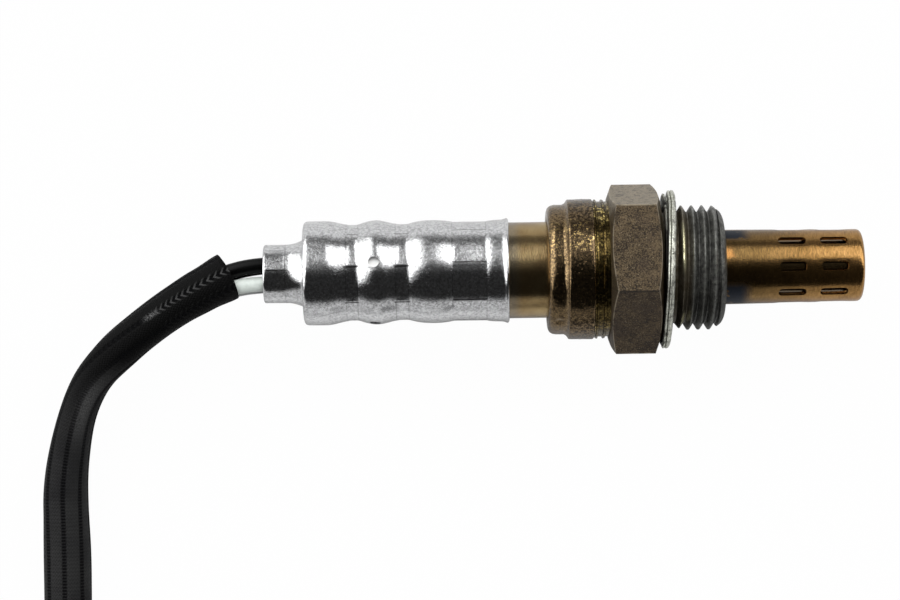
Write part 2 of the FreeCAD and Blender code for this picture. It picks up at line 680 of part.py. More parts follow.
def build_grommet():
    """Rubber grommet, squeezed by both waists, with the leads' holes and the membrane's groove."""
    inset = -SHELL_WALL - ROUND_FIT
    neck_r = CUFF_R - SHELL_WALL - ROUND_FIT
    face_x = SHOULDER_X + SHELL_WALL
    round_r = SHOULDER_ROUND - SHELL_WALL
    k = round_r * (1 - math.sqrt(0.5))
    body_r = BULGE_R + inset
    profile = outline(
        (CUFF_REAR_X + CUFF_EDGE, 0),
        (CUFF_REAR_X + CUFF_EDGE, neck_r),
        (face_x, neck_r),
        (face_x, body_r - round_r),
        (face_x + k, body_r - k, REAR_BULGE_REAR_X, body_r),
        *shell_line(inset, front=False),
        (GROMMET_FRONT_X, 0),
        (CUFF_REAR_X + CUFF_EDGE, 0),
    )
    groove_r = MEMBRANE_R - MEMBRANE_T
    groove = ring(VENT_X - MEMBRANE_L / 2, VENT_X + MEMBRANE_L / 2, groove_r, BULGE_R)
    shape = turned(profile).cut(groove)
    holes = [rod(CUFF_REAR_X, GROMMET_FRONT_X + 1, WIRE_R + WIRE_FIT, y, z)
             for _, y, z in wire_places(WIRE_OFFSET)]
    return shape.cut(Part.makeCompound(holes))


def build_spring():
    """Disc spring between the grommet and the contact holder."""
    outer_r = WAIST_R - SHELL_WALL - 2 * ROUND_FIT
    return turned(outline(
        (GROMMET_FRONT_X, SPRING_BORE_R),
        (HOLDER_REAR_X - SPRING_T, outer_r),
        (HOLDER_REAR_X, outer_r),
        (GROMMET_FRONT_X + SPRING_T, SPRING_BORE_R),
        (GROMMET_FRONT_X, SPRING_BORE_R),
    ))


def build_holder():
    """Ceramic contact holder: a flange behind the inner sleeve and a body inside it."""
    body_r = SEAT_CRIMP_R - SHELL_WALL - SLEEVE_WALL - 2 * ROUND_FIT
    flange_r = WAIST_R - SHELL_WALL - 2 * ROUND_FIT
    front_x = HOLDER_REAR_X + HOLDER_L
    shape = turned(outline(
        (HOLDER_REAR_X, 0), (HOLDER_REAR_X, flange_r), (SLEEVE_REAR_X, flange_r),
        (SLEEVE_REAR_X, body_r), (front_x, body_r), (front_x, 0), (HOLDER_REAR_X, 0)))
    holes = [rod(HOLDER_REAR_X - 1, front_x + 1, HOLDER_BORE_R, y, z)
             for _, y, z in wire_places(WIRE_OFFSET)]
    return shape.cut(Part.makeCompound(holes))


def build_terminals():
    """Four spring contacts, each a barrel on its lead and a strip that bears on the heater."""
    rear_x = GROMMET_FRONT_X - WIRE_INSET
    strip_x = rear_x + TERMINAL_BARREL_L
    front_x = HOLDER_REAR_X + HOLDER_L
    centre_r = WIRE_OFFSET * math.sqrt(2)
    high, low = centre_r + TERMINAL_STRIP_T / 2, centre_r - TERMINAL_STRIP_T / 2
    tip_low = HEATER_R + ROUND_FIT
    tip_high = tip_low + TERMINAL_TIP_T
    tip_x = front_x + TERMINAL_TIP_L
    bend_x = front_x + TERMINAL_TIP_L * 0.4
    strip = [
        (rear_x, low), (rear_x, high), (front_x, high), (bend_x, tip_high), (tip_x, tip_high),
        (tip_x, tip_low), (bend_x, tip_low), (front_x, low), (rear_x, low)]
    half_w = TERMINAL_STRIP_W / 2
    face = Part.Face(Part.makePolygon([Vec(x, -half_w, r) for x, r in strip]))
    blade = face.extrude(Vec(0, TERMINAL_STRIP_W, 0))
    barrel = rod(rear_x, strip_x, TERMINAL_R, 0, centre_r)
    terminal = blade.fuse(barrel).removeSplitter()
    copies = []
    for k in range(4):
        copy = terminal.copy()
        copy.rotate(Vec(0, 0, 0), Vec(1, 0, 0), 45 + 90 * k)
        copies.append(copy)
    return Part.makeCompound(copies)


def mouth_space(heading):
    """Everything behind the plane of the sleeve's mouth, to trim the leads against it."""
    block = Part.makeBox(60, 60, 30, Vec(-30, -30, 0))
    block.Placement = FreeCAD.Placement(MOUTH, FreeCAD.Rotation(Vec(0, 0, 1), heading))
    return block


def build_wires(heading):
    """Each lead shows twice: from its terminal to the sleeve's mouth, and at the connector."""
    front_x = GROMMET_FRONT_X - WIRE_INSET
    seal_front_x = CONNECTOR_REAR_X + SEAL_CAVITY_L
    beyond = mouth_space(heading)
    splay = zip(wire_places(WIRE_OFFSET), wire_places(WIRE_OFFSET + 0.07), wire_places(PIN_OFFSET))
    wires = {}
    for (name, y, z), (_, y0, z0), (_, y1, z1) in splay:
        front = rod(MOUTH.x - 6, front_x, WIRE_R, y, z).cut(beyond)
        points = [
            Vec(TAIL_END_X, CONNECTOR_Y + y0, CONNECTOR_Z + z0),
            Vec(TAIL_END_X + 2.0, CONNECTOR_Y + y0, CONNECTOR_Z + z0),
            Vec(CONNECTOR_REAR_X - CAP_L - 0.6, CONNECTOR_Y + y1, CONNECTOR_Z + z1),
            Vec(seal_front_x, CONNECTOR_Y + y1, CONNECTOR_Z + z1),
        ]
        rear, _ = tube(*route_pieces(points), WIRE_R)
        wires[name] = Part.makeCompound([front, rear])
    return wires


def coil_points():
    """Corners of the coil: one turn on the floor, then a quarter turn on top of it."""
    step = 360.0 / COIL_STEPS
    corner_r = COIL_R / math.cos(math.radians(step / 2))
    points = []
    for k in range(COIL_POINTS):
        angle = math.radians(180 + step * (k + 0.5))
        into_rise = k - (COIL_STEPS - 1 - len(COIL_RISE))
        if into_rise < 0:
            lift = 0.0
        elif into_rise < len(COIL_RISE):
            lift = COIL_RISE[into_rise]
        else:
            lift = 1.0
        z = CORD_Z + lift * COIL_STACK
        points.append(Vec(COIL_X + corner_r * math.cos(angle), COIL_Y + corner_r * math.sin(angle), z))
    return points


def split_route():
    """Runs and turns of the sleeve's three stretches: led in, coiled, and out to the connector."""
    runs, turns = route_pieces(LEAD_IN + coil_points() + TAIL)
    cuts = [len(LEAD_IN) - 1, len(LEAD_IN) + COIL_POINTS - 1]
    middles = [(runs[cut][0] + runs[cut][1]) * 0.5 for cut in cuts]
    first, second = cuts
    lead_runs = runs[:first] + [(runs[first][0], middles[0])]
    coil_runs = [(middles[0], runs[first][1])] + runs[first + 1:second] + [(runs[second][0], middles[1])]
    tail_runs = [(middles[1], runs[second][1])] + runs[second + 1:]
    return [
        ("harness_sleeve", lead_runs, turns[:first]),
        ("harness_coil", coil_runs, turns[first:second]),
        ("harness_tail", tail_runs, turns[second:]),
    ]


def build_tie():
    """Cable tie pulled tight round the coil's two stacked strands."""
    half_w = CORD_R - TIE_PINCH + TIE_T
    low = FLOOR_Z + 2 * CORD_FLOOR_GAP
    high = CORD_Z + COIL_STACK + CORD_R - TIE_PINCH + TIE_T

    def loop(inset):
        w = half_w - inset
        z0, z1 = low + inset + w, high - inset - w
        edges = [
            line(Vec(0, w, z0), Vec(0, w, z1)),
            Part.Arc(Vec(0, w, z1), Vec(0, 0, z1 + w), Vec(0, -w, z1)).toShape(),
            line(Vec(0, -w, z1), Vec(0, -w, z0)),
            Part.Arc(Vec(0, -w, z0), Vec(0, 0, z0 - w), Vec(0, w, z0)).toShape(),
        ]
        solid = Part.Face(Part.Wire(edges)).extrude(Vec(TIE_W, 0, 0))
        solid.translate(Vec(-TIE_W / 2, 0, 0))
        return solid

    head_l, head_w, head_h = TIE_HEAD
    head = Part.makeBox(head_l, head_w, head_h, Vec(-head_l / 2, -head_w / 2, high - TIE_T * 0.6))
    head = head.makeFillet(0.6, [e for e in head.Edges if e.CenterOfMass.z > high])
    end = Part.makeBox(TIE_W - 0.8, TIE_T, TIE_END_L,
                       Vec(-TIE_W / 2 + 0.4, head_w / 2 - 2 * TIE_T, high + head_h - TIE_T))
    band = loop(0).cut(loop(TIE_T)).fuse([head, end]).removeSplitter()
    band = band.cut(loop(TIE_T))
    angle = math.radians(TIE_DEG)
    band.rotate(Vec(0, 0, 0), Vec(0, 0, 1), TIE_DEG + 90)
    band.translate(Vec(COIL_X + COIL_R * math.cos(angle), COIL_Y + COIL_R * math.sin(angle), 0))
    return band


def build_connector_housing():
    """Connector body: socket round the pins, bores for them and a cavity for the wire seal."""
    y, z = CONNECTOR_Y, CONNECTOR_Z
    rim_x = CONNECTOR_REAR_X + CONNECTOR_L
    socket_x = rim_x - SOCKET_L
    body = rounded_bar(CONNECTOR_REAR_X, socket_x + 1, BODY_W, BODY_H, BODY_CORNER, y, z)
    socket = rounded_bar(socket_x, rim_x, SOCKET_W, SOCKET_H, SOCKET_CORNER, y, z)
    top = z + SOCKET_H / 2
    latch_x = rim_x - LATCH_FROM_RIM
    ramp = Part.Face(Part.makePolygon([
        Vec(latch_x, y - LATCH_W / 2, top - 0.5), Vec(latch_x, y - LATCH_W / 2, top + 0.2),
        Vec(latch_x - LATCH_L * 0.8, y - LATCH_W / 2, top + LATCH_RISE),
        Vec(latch_x - LATCH_L, y - LATCH_W / 2, top + LATCH_RISE),
        Vec(latch_x - LATCH_L, y - LATCH_W / 2, top - 0.5),
        Vec(latch_x, y - LATCH_W / 2, top - 0.5)])).extrude(Vec(0, LATCH_W, 0))
    keys = []
    for side in (-1, 1):
        for key_z in (-KEY_Z, KEY_Z):
            low_y = y + side * (SOCKET_W / 2 + KEY_RISE / 2 - 0.25) - (KEY_RISE / 2 + 0.25)
            keys.append(Part.makeBox(SOCKET_L, KEY_RISE + 0.5, KEY_W,
                                     Vec(socket_x, low_y, z + key_z - KEY_W / 2)))
    shape = body.fuse([socket, ramp] + keys).removeSplitter()
    width, height = SOCKET_W - 2 * SOCKET_WALL, SOCKET_H - 2 * SOCKET_WALL
    floor_x = socket_x + SOCKET_FLOOR
    shape = shape.cut(rounded_bar(floor_x, rim_x + 1, width, height, SOCKET_CORNER - SOCKET_WALL, y, z))
    seal_x = CONNECTOR_REAR_X + SEAL_CAVITY_L
    shape = shape.cut(rounded_bar(CONNECTOR_REAR_X - 1, seal_x, SEAL_CAVITY_W, SEAL_CAVITY_H, 1.5, y, z))
    bores = [rod(seal_x - 1, floor_x + 1, PIN_BORE_R, y + dy, z + dz)
             for _, dy, dz in wire_places(PIN_OFFSET)]
    return shape.cut(Part.makeCompound(bores))


def build_connector_pins():
    rim_x = CONNECTOR_REAR_X + CONNECTOR_L
    barrel_x = CONNECTOR_REAR_X + SEAL_CAVITY_L
    tip_x = rim_x - PIN_INSET
    pins = []
    for _, dy, dz in wire_places(PIN_OFFSET):
        pin = turned(outline(
            (barrel_x, 0), (barrel_x, PIN_BARREL_R), (barrel_x + PIN_BARREL_L, PIN_BARREL_R),
            (barrel_x + PIN_BARREL_L, PIN_R), (tip_x - PIN_R, PIN_R),
            (tip_x - 0.2 * PIN_R, PIN_R * 0.6, tip_x, 0), (barrel_x, 0)))
        pin.translate(Vec(0, CONNECTOR_Y + dy, CONNECTOR_Z + dz))
        pins.append(pin)
    return Part.makeCompound(pins)


def build_connector_lock():
    """Locking plate at the socket's floor, pushed on over the pins."""
    rim_x = CONNECTOR_REAR_X + CONNECTOR_L
    floor_x = rim_x - SOCKET_L + SOCKET_FLOOR
    width = SOCKET_W - 2 * SOCKET_WALL - 2 * ROUND_FIT
    height = SOCKET_H - 2 * SOCKET_WALL - 2 * ROUND_FIT
    corner = SOCKET_CORNER - SOCKET_WALL
    plate = rounded_bar(floor_x, floor_x + LOCK_T, width, height, corner, CONNECTOR_Y, CONNECTOR_Z)
    holes = [rod(floor_x - 1, floor_x + LOCK_T + 1, PIN_R + ROUND_FIT, CONNECTOR_Y + dy, CONNECTOR_Z + dz)
             for _, dy, dz in wire_places(PIN_OFFSET)]
    return plate.cut(Part.makeCompound(holes))


def build_wire_seal():
    """Soft mat seal with ribs, in the connector's rear cavity."""
    x0, x1 = CONNECTOR_REAR_X, CONNECTOR_REAR_X + SEAL_CAVITY_L
    y, z = CONNECTOR_Y, CONNECTOR_Z
    width, height = SEAL_CAVITY_W - 2 * ROUND_FIT, SEAL_CAVITY_H - 2 * ROUND_FIT
    core = rounded_bar(x0, x1, width - 2 * SEAL_RIB, height - 2 * SEAL_RIB, 1.2, y, z)
    rib_l = (x1 - x0) / 7
    ribs = [rounded_bar(x0 + rib_l * (2 * k + 1), x0 + rib_l * (2 * k + 2), width, height, 1.5, y, z)
            for k in range(3)]
    shape = core.fuse(ribs).removeSplitter()
    holes = [rod(x0 - 1, x1 + 1, WIRE_R + WIRE_FIT, y + dy, z + dz)
             for _, dy, dz in wire_places(PIN_OFFSET)]
    return shape.cut(Part.makeCompound(holes))


def build_rear_cap():
    """Cap that snaps over the connector's rear end and holds the wire seal in."""
    y, z = CONNECTOR_Y, CONNECTOR_Z
    width = BODY_W + 2 * (CAP_WALL + ROUND_FIT)
    height = BODY_H + 2 * (CAP_WALL + ROUND_FIT)
    x0 = CONNECTOR_REAR_X - CAP_L
    shape = rounded_bar(x0, CONNECTOR_REAR_X + CAP_SKIRT_L, width, height, BODY_CORNER + CAP_WALL, y, z)
    inside = rounded_bar(CONNECTOR_REAR_X, CONNECTOR_REAR_X + CAP_SKIRT_L + 1,
                         BODY_W + 2 * ROUND_FIT, BODY_H + 2 * ROUND_FIT, BODY_CORNER, y, z)
    holes = [rod(x0 - 1, CONNECTOR_REAR_X + 1, CAP_HOLE_R, y + dy, z + dz)
             for _, dy, dz in wire_places(PIN_OFFSET)]
    return shape.cut(Part.makeCompound([inside])).cut(Part.makeCompound(holes))


# The sensor
export(build_housing(), "housing")
export(build_gasket(), "gasket")
export(build_outer_tube(), "outer_protection_tube")
export(build_inner_tube(), "inner_protection_tube")
thimble, thimble_bore_end_x = build_thimble()
export(thimble, "sensing_thimble")
export(build_heater(thimble_bore_end_x), "heater_rod")
seat_r = CHAMBER_R - ROUND_FIT
stem_hole_r = THIMBLE_STEM_R + ROUND_FIT
export(ring(INSULATOR_REAR_X, CHAMBER_X, stem_hole_r, seat_r), "lower_insulator")
export(build_talc(), "talc_seal")
export(ring(UPPER_REAR_X, TALC_REAR_X, stem_hole_r, seat_r), "upper_insulator")
export(ring(SEAL_REAR_X, UPPER_REAR_X, SEAL_RING_BORE_R, seat_r), "seal_ring")
export(build_inner_sleeve(), "inner_sleeve")
export(build_rear_shell(), "rear_shell")
export(build_grommet(), "grommet")
membrane_x0, membrane_x1 = VENT_X - MEMBRANE_L / 2, VENT_X + MEMBRANE_L / 2
export(ring(membrane_x0, membrane_x1, MEMBRANE_R - MEMBRANE_T, MEMBRANE_R), "vent_membrane")
export(build_spring(), "disc_spring")
export(build_holder(), "contact_holder")
export(build_terminals(), "contact_terminals")

# The harness
tie = build_tie()
export(tie, "cable_tie")
cord_length = 0.0
mouth_heading = Vec(0, 0, 0)
for node, node_runs, node_turns in split_route():
    cord, stretch = tube(node_runs, node_turns, CORD_R)
    cord_length += stretch
    share = cord.Volume / (math.pi * CORD_R ** 2 * stretch)
    tightest = min(turn[3] for turn in node_turns)
    print("%s: %.1f mm long, tightest radius %.1f mm, volume over section times length %.4f"
          % (node, stretch, tightest, share))
    if node == "harness_sleeve":
        mouth_heading = node_runs[0][1] - node_runs[0][0]
    if node == "harness_coil":
        cord = cord.cut(tie)
    export(cord, node)
print("sleeve in all: %.1f mm" % cord_length)
for node, wire in build_wires(mouth_heading).items():
    export(wire, node)

# The connector
export(build_connector_housing(), "connector_housing")
export(build_connector_pins(), "connector_pins")
export(build_connector_lock(), "connector_lock")
export(build_wire_seal(), "connector_wire_seal")
export(build_rear_cap(), "connector_rear_cap")
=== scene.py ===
"""Looks of an exhaust oxygen sensor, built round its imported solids.

The sensor's axis is X, with the sensing tip at +X and the leads at -X. The origin is where the
hexagon's front face clamps the gasket, and +Z is up. Sizes in the classes are millimetres.
"""

import json
import logging
import math
from dataclasses import dataclass
from enum import Enum
from functools import cache, reduce
from typing import Callable, Sequence

import bmesh
import bpy
from mathutils import Matrix, Vector, noise

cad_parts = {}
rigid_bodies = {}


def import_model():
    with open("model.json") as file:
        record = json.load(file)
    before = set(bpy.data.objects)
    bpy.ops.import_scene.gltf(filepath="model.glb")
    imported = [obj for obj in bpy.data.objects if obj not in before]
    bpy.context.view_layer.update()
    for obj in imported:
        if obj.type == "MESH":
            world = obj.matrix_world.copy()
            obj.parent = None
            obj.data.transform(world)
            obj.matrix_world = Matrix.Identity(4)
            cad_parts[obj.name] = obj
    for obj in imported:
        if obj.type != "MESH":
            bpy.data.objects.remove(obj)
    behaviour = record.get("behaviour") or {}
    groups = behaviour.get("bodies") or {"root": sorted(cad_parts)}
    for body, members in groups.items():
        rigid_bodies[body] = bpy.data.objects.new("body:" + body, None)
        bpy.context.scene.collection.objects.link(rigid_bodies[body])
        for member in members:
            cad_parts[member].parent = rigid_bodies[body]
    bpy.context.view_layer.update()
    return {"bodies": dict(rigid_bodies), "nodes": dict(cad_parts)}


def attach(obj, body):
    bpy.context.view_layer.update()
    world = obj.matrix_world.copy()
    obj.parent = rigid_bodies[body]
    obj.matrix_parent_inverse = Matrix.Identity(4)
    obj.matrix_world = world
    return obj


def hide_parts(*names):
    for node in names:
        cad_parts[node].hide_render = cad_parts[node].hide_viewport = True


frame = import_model()
LOG = logging.getLogger("oxygen_sensor")

MM = 0.001
SIDES = 192
BODY = "root" if "root" in frame["bodies"] else sorted(frame["bodies"])[0]

Point = tuple[float, float]
Colour = tuple[float, float, float]


def linear(red: float, green: float, blue: float) -> tuple[float, float, float, float]:
    """Turn a colour as a screen shows it, 0 to 255, into the linear values that shaders take.

    Args:
        red: The red part.
        green: The green part.
        blue: The blue part.

    Returns:
        The linear colour with full alpha.
    """
    parts = []
    for part in (red, green, blue):
        share = part / 255
        parts.append(share / 12.92 if share <= 0.04045 else ((share + 0.055) / 1.055) ** 2.4)
    return parts[0], parts[1], parts[2], 1.0


# ---------------------------------------------------------------- shader maths


class Value:
    """A shader socket that takes part in Python arithmetic."""

    def __init__(self, tree: "Tree", socket: bpy.types.NodeSocket) -> None:
        """Keep the tree that the socket belongs to."""
        self.tree = tree
        self.socket = socket

    def maths(self, operation: str, *others: "Value | float") -> "Value":
        """Add a Math node with this socket as its first input.

        Args:
            operation: The Math node's operation.
            others: Its further inputs.

        Returns:
            The node's result.
        """
        inputs = {i: value for i, value in enumerate((self, *others))}
        return self.tree.add("ShaderNodeMath", {"operation": operation}, inputs)

    def __add__(self, other: "Value | float") -> "Value":
        """Return the sum."""
        return self.maths("ADD", other)

    def __radd__(self, other: float) -> "Value":
        """Return the sum."""
        return self.maths("ADD", other)

    def __sub__(self, other: "Value | float") -> "Value":
        """Return the difference."""
        return self.maths("SUBTRACT", other)

    def __rsub__(self, other: float) -> "Value":
        """Return the difference, with this socket taken away."""
        return self.tree.add("ShaderNodeMath", {"operation": "SUBTRACT"}, {0: other, 1: self})

    def __mul__(self, other: "Value | float") -> "Value":
        """Return the product."""
        return self.maths("MULTIPLY", other)

    def __rmul__(self, other: float) -> "Value":
        """Return the product."""
        return self.maths("MULTIPLY", other)

    def __truediv__(self, other: "Value | float") -> "Value":
        """Return the quotient."""
        return self.maths("DIVIDE", other)

    def rise(self, low: float, high: float) -> "Value":
        """Return a smooth step from 0 to 1, or from 1 to 0 where low is the higher bound.

        Args:
            low: Where the step starts.
            high: Where it is complete.

        Returns:
            The step.
        """
        settings = {"interpolation_type": "SMOOTHSTEP", "clamp": True}
        inputs = {"Value": self, "From Min": low, "From Max": high}
        return self.tree.add("ShaderNodeMapRange", settings, inputs)

    def sine(self) -> "Value":
        """Return the sine."""
        return self.maths("SINE")

    def size(self) -> "Value":
        """Return the value without its sign."""
        return self.maths("ABSOLUTE")

    def most(self, other: "Value | float") -> "Value":
        """Return the larger of the two."""
        return self.maths("MAXIMUM", other)

    def least(self, other: "Value | float") -> "Value":
        """Return the smaller of the two."""
        return self.maths("MINIMUM", other)

    def near(self, middle: float, reach: float) -> "Value":
        """Return 1 at middle, falling smoothly to 0 at reach on both sides."""
        return (self - middle).size().rise(reach, 0.0)


Input = Value | float | tuple


class Tree:
    """A node tree under construction, with its pattern helpers."""

    def __init__(self, tree: bpy.types.NodeTree) -> None:
        """Empty the tree."""
        self.tree = tree
        tree.nodes.clear()

    def add(self, kind: str, settings: dict, inputs: dict, output: int | str = 0) -> Value:
        """Add one node.

        Args:
            kind: The node's type.
            settings: Its properties, which are set first.
            inputs: Values or links by socket name or number.
            output: Which output to return.

        Returns:
            The chosen output.
        """
        node = self.tree.nodes.new(kind)
        for name, value in settings.items():
            setattr(node, name, value)
        for key, value in inputs.items():
            if isinstance(value, Value):
                self.tree.links.new(value.socket, node.inputs[key])
            else:
                node.inputs[key].default_value = value
        return Value(self, node.outputs[output]) if node.outputs else Value(self, None)

    def place(self) -> tuple[Value, Value, Value, Value]:
        """Return the point on the surface as a vector and as x, y and z, in metres."""
        vector = self.add("ShaderNodeTexCoord", {}, {}, "Object")
        return (vector, *self.split(vector))

    def split(self, vector: Value) -> tuple[Value, Value, Value]:
        """Return a vector's three parts.

        Args:
            vector: The vector.

        Returns:
            Its x, y and z.
        """
        first = self.add("ShaderNodeSeparateXYZ", {}, {0: vector})
        outputs = first.socket.node.outputs
        return first, Value(self, outputs[1]), Value(self, outputs[2])

    def join(self, x: Input, y: Input, z: Input) -> Value:
        """Return a vector of three parts."""
        return self.add("ShaderNodeCombineXYZ", {}, {0: x, 1: y, 2: z})

    def angle(self, y: Value, z: Value) -> Value:
        """Return the angle round the axis from straight up towards +Y, in radians."""
        return y.maths("ARCTAN2", z)

    def way(self, y: Value, z: Value) -> Value:
        """Return the angle round the axis from straight up towards +Y, in degrees."""
        return self.angle(y, z) * (180 / math.pi)

    def radius(self, y: Value, z: Value) -> Value:
        """Return the distance from the axis, in metres."""
        return (y * y + z * z).maths("SQRT")

    def grain(self, vector: Value, scale: float, detail: float = 2.0, rough: float = 0.5) -> Value:
        """Return fractal noise, about 0 to 1.

        Args:
            vector: Where it is read.
            scale: Features in each metre.
            detail: Number of finer layers.
            rough: How strong those are.

        Returns:
            The noise's height.
        """
        inputs = {"Vector": vector, "Scale": scale, "Detail": detail, "Roughness": rough}
        return self.add("ShaderNodeTexNoise", {"noise_dimensions": "3D"}, inputs)

    def lathe_lines(self, x: Value, angle: Value, scales: Point, detail: float, rough: float) -> Value:
        """Return noise drawn out round the axis, as turning leaves it.

        Args:
            x: The place along the axis.
            angle: The angle round it, in radians.
            scales: Features in each metre along it and in each radian round it.
            detail: Number of finer layers.
            rough: How strong those are.

        Returns:
            The noise's height.
        """
        return self.grain(self.join(x * scales[0], angle * scales[1], 0.0), 1.0, detail, rough)

    def cells(self, vector: Value, scale: float) -> Value:
        """Return the distance to the nearest of scattered points."""
        settings = {"feature": "F1", "voronoi_dimensions": "3D"}
        return self.add("ShaderNodeTexVoronoi", settings, {"Vector": vector, "Scale": scale})

    def blend(self, share: Input, first: Input, second: Input) -> Value:
        """Return the first colour where share is 0 and the second where it is 1."""
        settings = {"data_type": "RGBA", "clamp_factor": True}
        return self.add("ShaderNodeMix", settings, {0: share, 6: first, 7: second}, 2)

    def mix(self, share: Input, first: Colour, second: Colour) -> Value:
        """Return a blend of two colours that are given as a screen shows them."""
        return self.blend(share, linear(*first), linear(*second))

    def coats(self, base: Value, *layers: tuple[Input, Colour]) -> Value:
        """Lay further colours over a first one.

        Args:
            base: The colour underneath.
            layers: Each layer's share and its colour as a screen shows it, the lowest first.

        Returns:
            The colour on top.
        """
        for share, colour in layers:
            base = self.blend(share, base, linear(*colour))
        return base

    def between(self, share: Input, first: Input, second: Input) -> Value:
        """Return the first number where share is 0 and the second where it is 1."""
        settings = {"data_type": "FLOAT", "clamp_factor": True}
        return self.add("ShaderNodeMix", settings, {0: share, 2: first, 3: second}, 0)

    def bump(self, height: Value, depth: float, strength: float = 1.0) -> Value:
        """Return a normal for a height pattern, with its depth in metres."""
        inputs = {"Height": height, "Distance": depth, "Strength": strength}
        return self.add("ShaderNodeBump", {}, inputs)


# ---------------------------------------------------------------- finishes


@dataclass(frozen=True)
class Finish:
    """A surface finish, made into one material that several pieces may share."""

    label: str

    def paint(self, tree: Tree) -> dict:
        """Return the surface's pattern.

        Args:
            tree: The material's tree.

        Returns:
            The main shader's inputs by name.
        """
        raise NotImplementedError

    @cache
    def material(self) -> bpy.types.Material:
        """Make the material the first time that it is asked for.

        Returns:
            The material.
        """
        made = bpy.data.materials.new(self.label)
        made.use_nodes = True
        tree = Tree(made.node_tree)
        shader = tree.add("ShaderNodeBsdfPrincipled", {}, self.paint(tree))
        tree.add("ShaderNodeOutputMaterial", {}, {"Surface": shader})
        return made


@dataclass(frozen=True)
class ShellSteel(Finish):
    """Drawn stainless sheet: satin, with a fine orange peel and painted shade along the creases of the crimping jaws.
    """

    roughness: float = 0.11
    peel_depth: float = 0.000017
    rings: tuple[float, ...] = (-0.0541, -0.0453, -0.04365, -0.0382, -0.0364, -0.03012, -0.02525)
    ring_width: float = 0.00013
    crimps: tuple[Point, ...] = ((-0.04448, 0.0011), (-0.0373, 0.0012), (-0.02768, 0.0026), (-0.0554, 0.0015))
    crimp_edge: float = 0.0002
    ridge_deg: float = 6.6
    ridge_step_deg: float = 45.0
    seat_from: float = -0.0340
    seat_shift_deg: float = 3.4

    def jaw_crease_shade(self, x: Value, way: Value, worn: Value) -> Value:
        """Return painted shade along the creases that the jaws left: rings at their edges and ridges between them.

        Args:
            x: The place along the axis.
            way: The angle round it, in degrees.
            worn: Noise that breaks the marks up.

        Returns:
            The painted crease shade, from 0 to 1.
        """
        ring = reduce(Value.most, [x.near(place, self.ring_width) for place in self.rings])
        pressed = reduce(Value.most, [(x - middle).size().rise(reach, reach - self.crimp_edge)
                                      for middle, reach in self.crimps])
        turn = way - self.ridge_deg - x.rise(self.seat_from, self.seat_from + 0.001) * self.seat_shift_deg
        off = ((turn / self.ridge_step_deg + 0.5).maths("FRACT") - 0.5) * self.ridge_step_deg
        ridge = off.size().rise(1.5, 0.5) * pressed * (1 - turn.rise(30, 50) * 0.6)
        return (ring * worn.rise(0.3, 0.6) * 0.4).most(ridge * worn.rise(0.25, 0.5) * 0.8)

    def paint(self, tree: Tree) -> dict:
        """Return grain that breaks up the reflections, fine turned lines and painted shade along the jaws' creases.

        Args:
            tree: The material's tree.

        Returns:
            The main shader's inputs by name.
        """
        vector, x, y, z = tree.place()
        peel = tree.grain(vector, 4400, 4.0, 0.75)
        worn = tree.grain(vector, 900, 3.0, 0.6)
        lines = tree.lathe_lines(x, tree.angle(y, z), (9000, 6), 2.0, 0.6)
        specks = tree.grain(vector, 1500, 4.0, 0.7).rise(0.6, 0.68)
        mottle = tree.grain(vector, 2400, 4.0, 0.7)
        sheet = tree.mix((peel * 0.4 + mottle * 0.6).rise(0.36, 0.62), (176, 176, 177), (234, 235, 236))
        # Painted shade: dark lines along the jaws' creases, weaker on the upper side.
        marks = self.jaw_crease_shade(x, tree.way(y, z), worn)
        return {
            "Base Color": tree.coats(sheet, (specks * 0.4, (116, 115, 112)), (marks, (44, 43, 41))),
            "Metallic": 1.0,
            "Roughness": self.roughness + worn.rise(0.35, 0.75) * 0.06 + specks * 0.1,
            "Normal": tree.bump(peel + lines * 0.15, self.peel_depth),
        }


@dataclass(frozen=True)
class GoldSteel(Finish):
    """Stainless tube that heat has tinted golden, with fine turned lines."""

    pale: Colour = (172, 150, 108)
    deep: Colour = (136, 112, 76)
    cool: Colour = (126, 128, 126)
    cool_from: float = -0.0200
    cool_to: float = -0.0216

    def paint(self, tree: Tree) -> dict:
        """Return the golden tint, greyer towards the shell, with a fine grain.

        Args:
            tree: The material's tree.

        Returns:
            The main shader's inputs by name.
        """
        vector, x, y, z = tree.place()
        lines = tree.lathe_lines(x, tree.angle(y, z), (7000, 7), 3.0, 0.65)
        grain = tree.grain(vector, 4200, 3.0, 0.6)
        cloud = tree.grain(vector, 260, 2.0, 0.5)
        tint = tree.mix((cloud * 0.7 + lines * 0.4).rise(0.35, 0.72), self.deep, self.pale)
        return {
            "Base Color": tree.coats(tint, (x.rise(self.cool_from, self.cool_to) * 0.45, self.cool)),
            "Metallic": 1.0,
            "Roughness": 0.15 + lines * 0.06,
            "Normal": tree.bump(grain + lines * 0.5, 0.000016),
        }


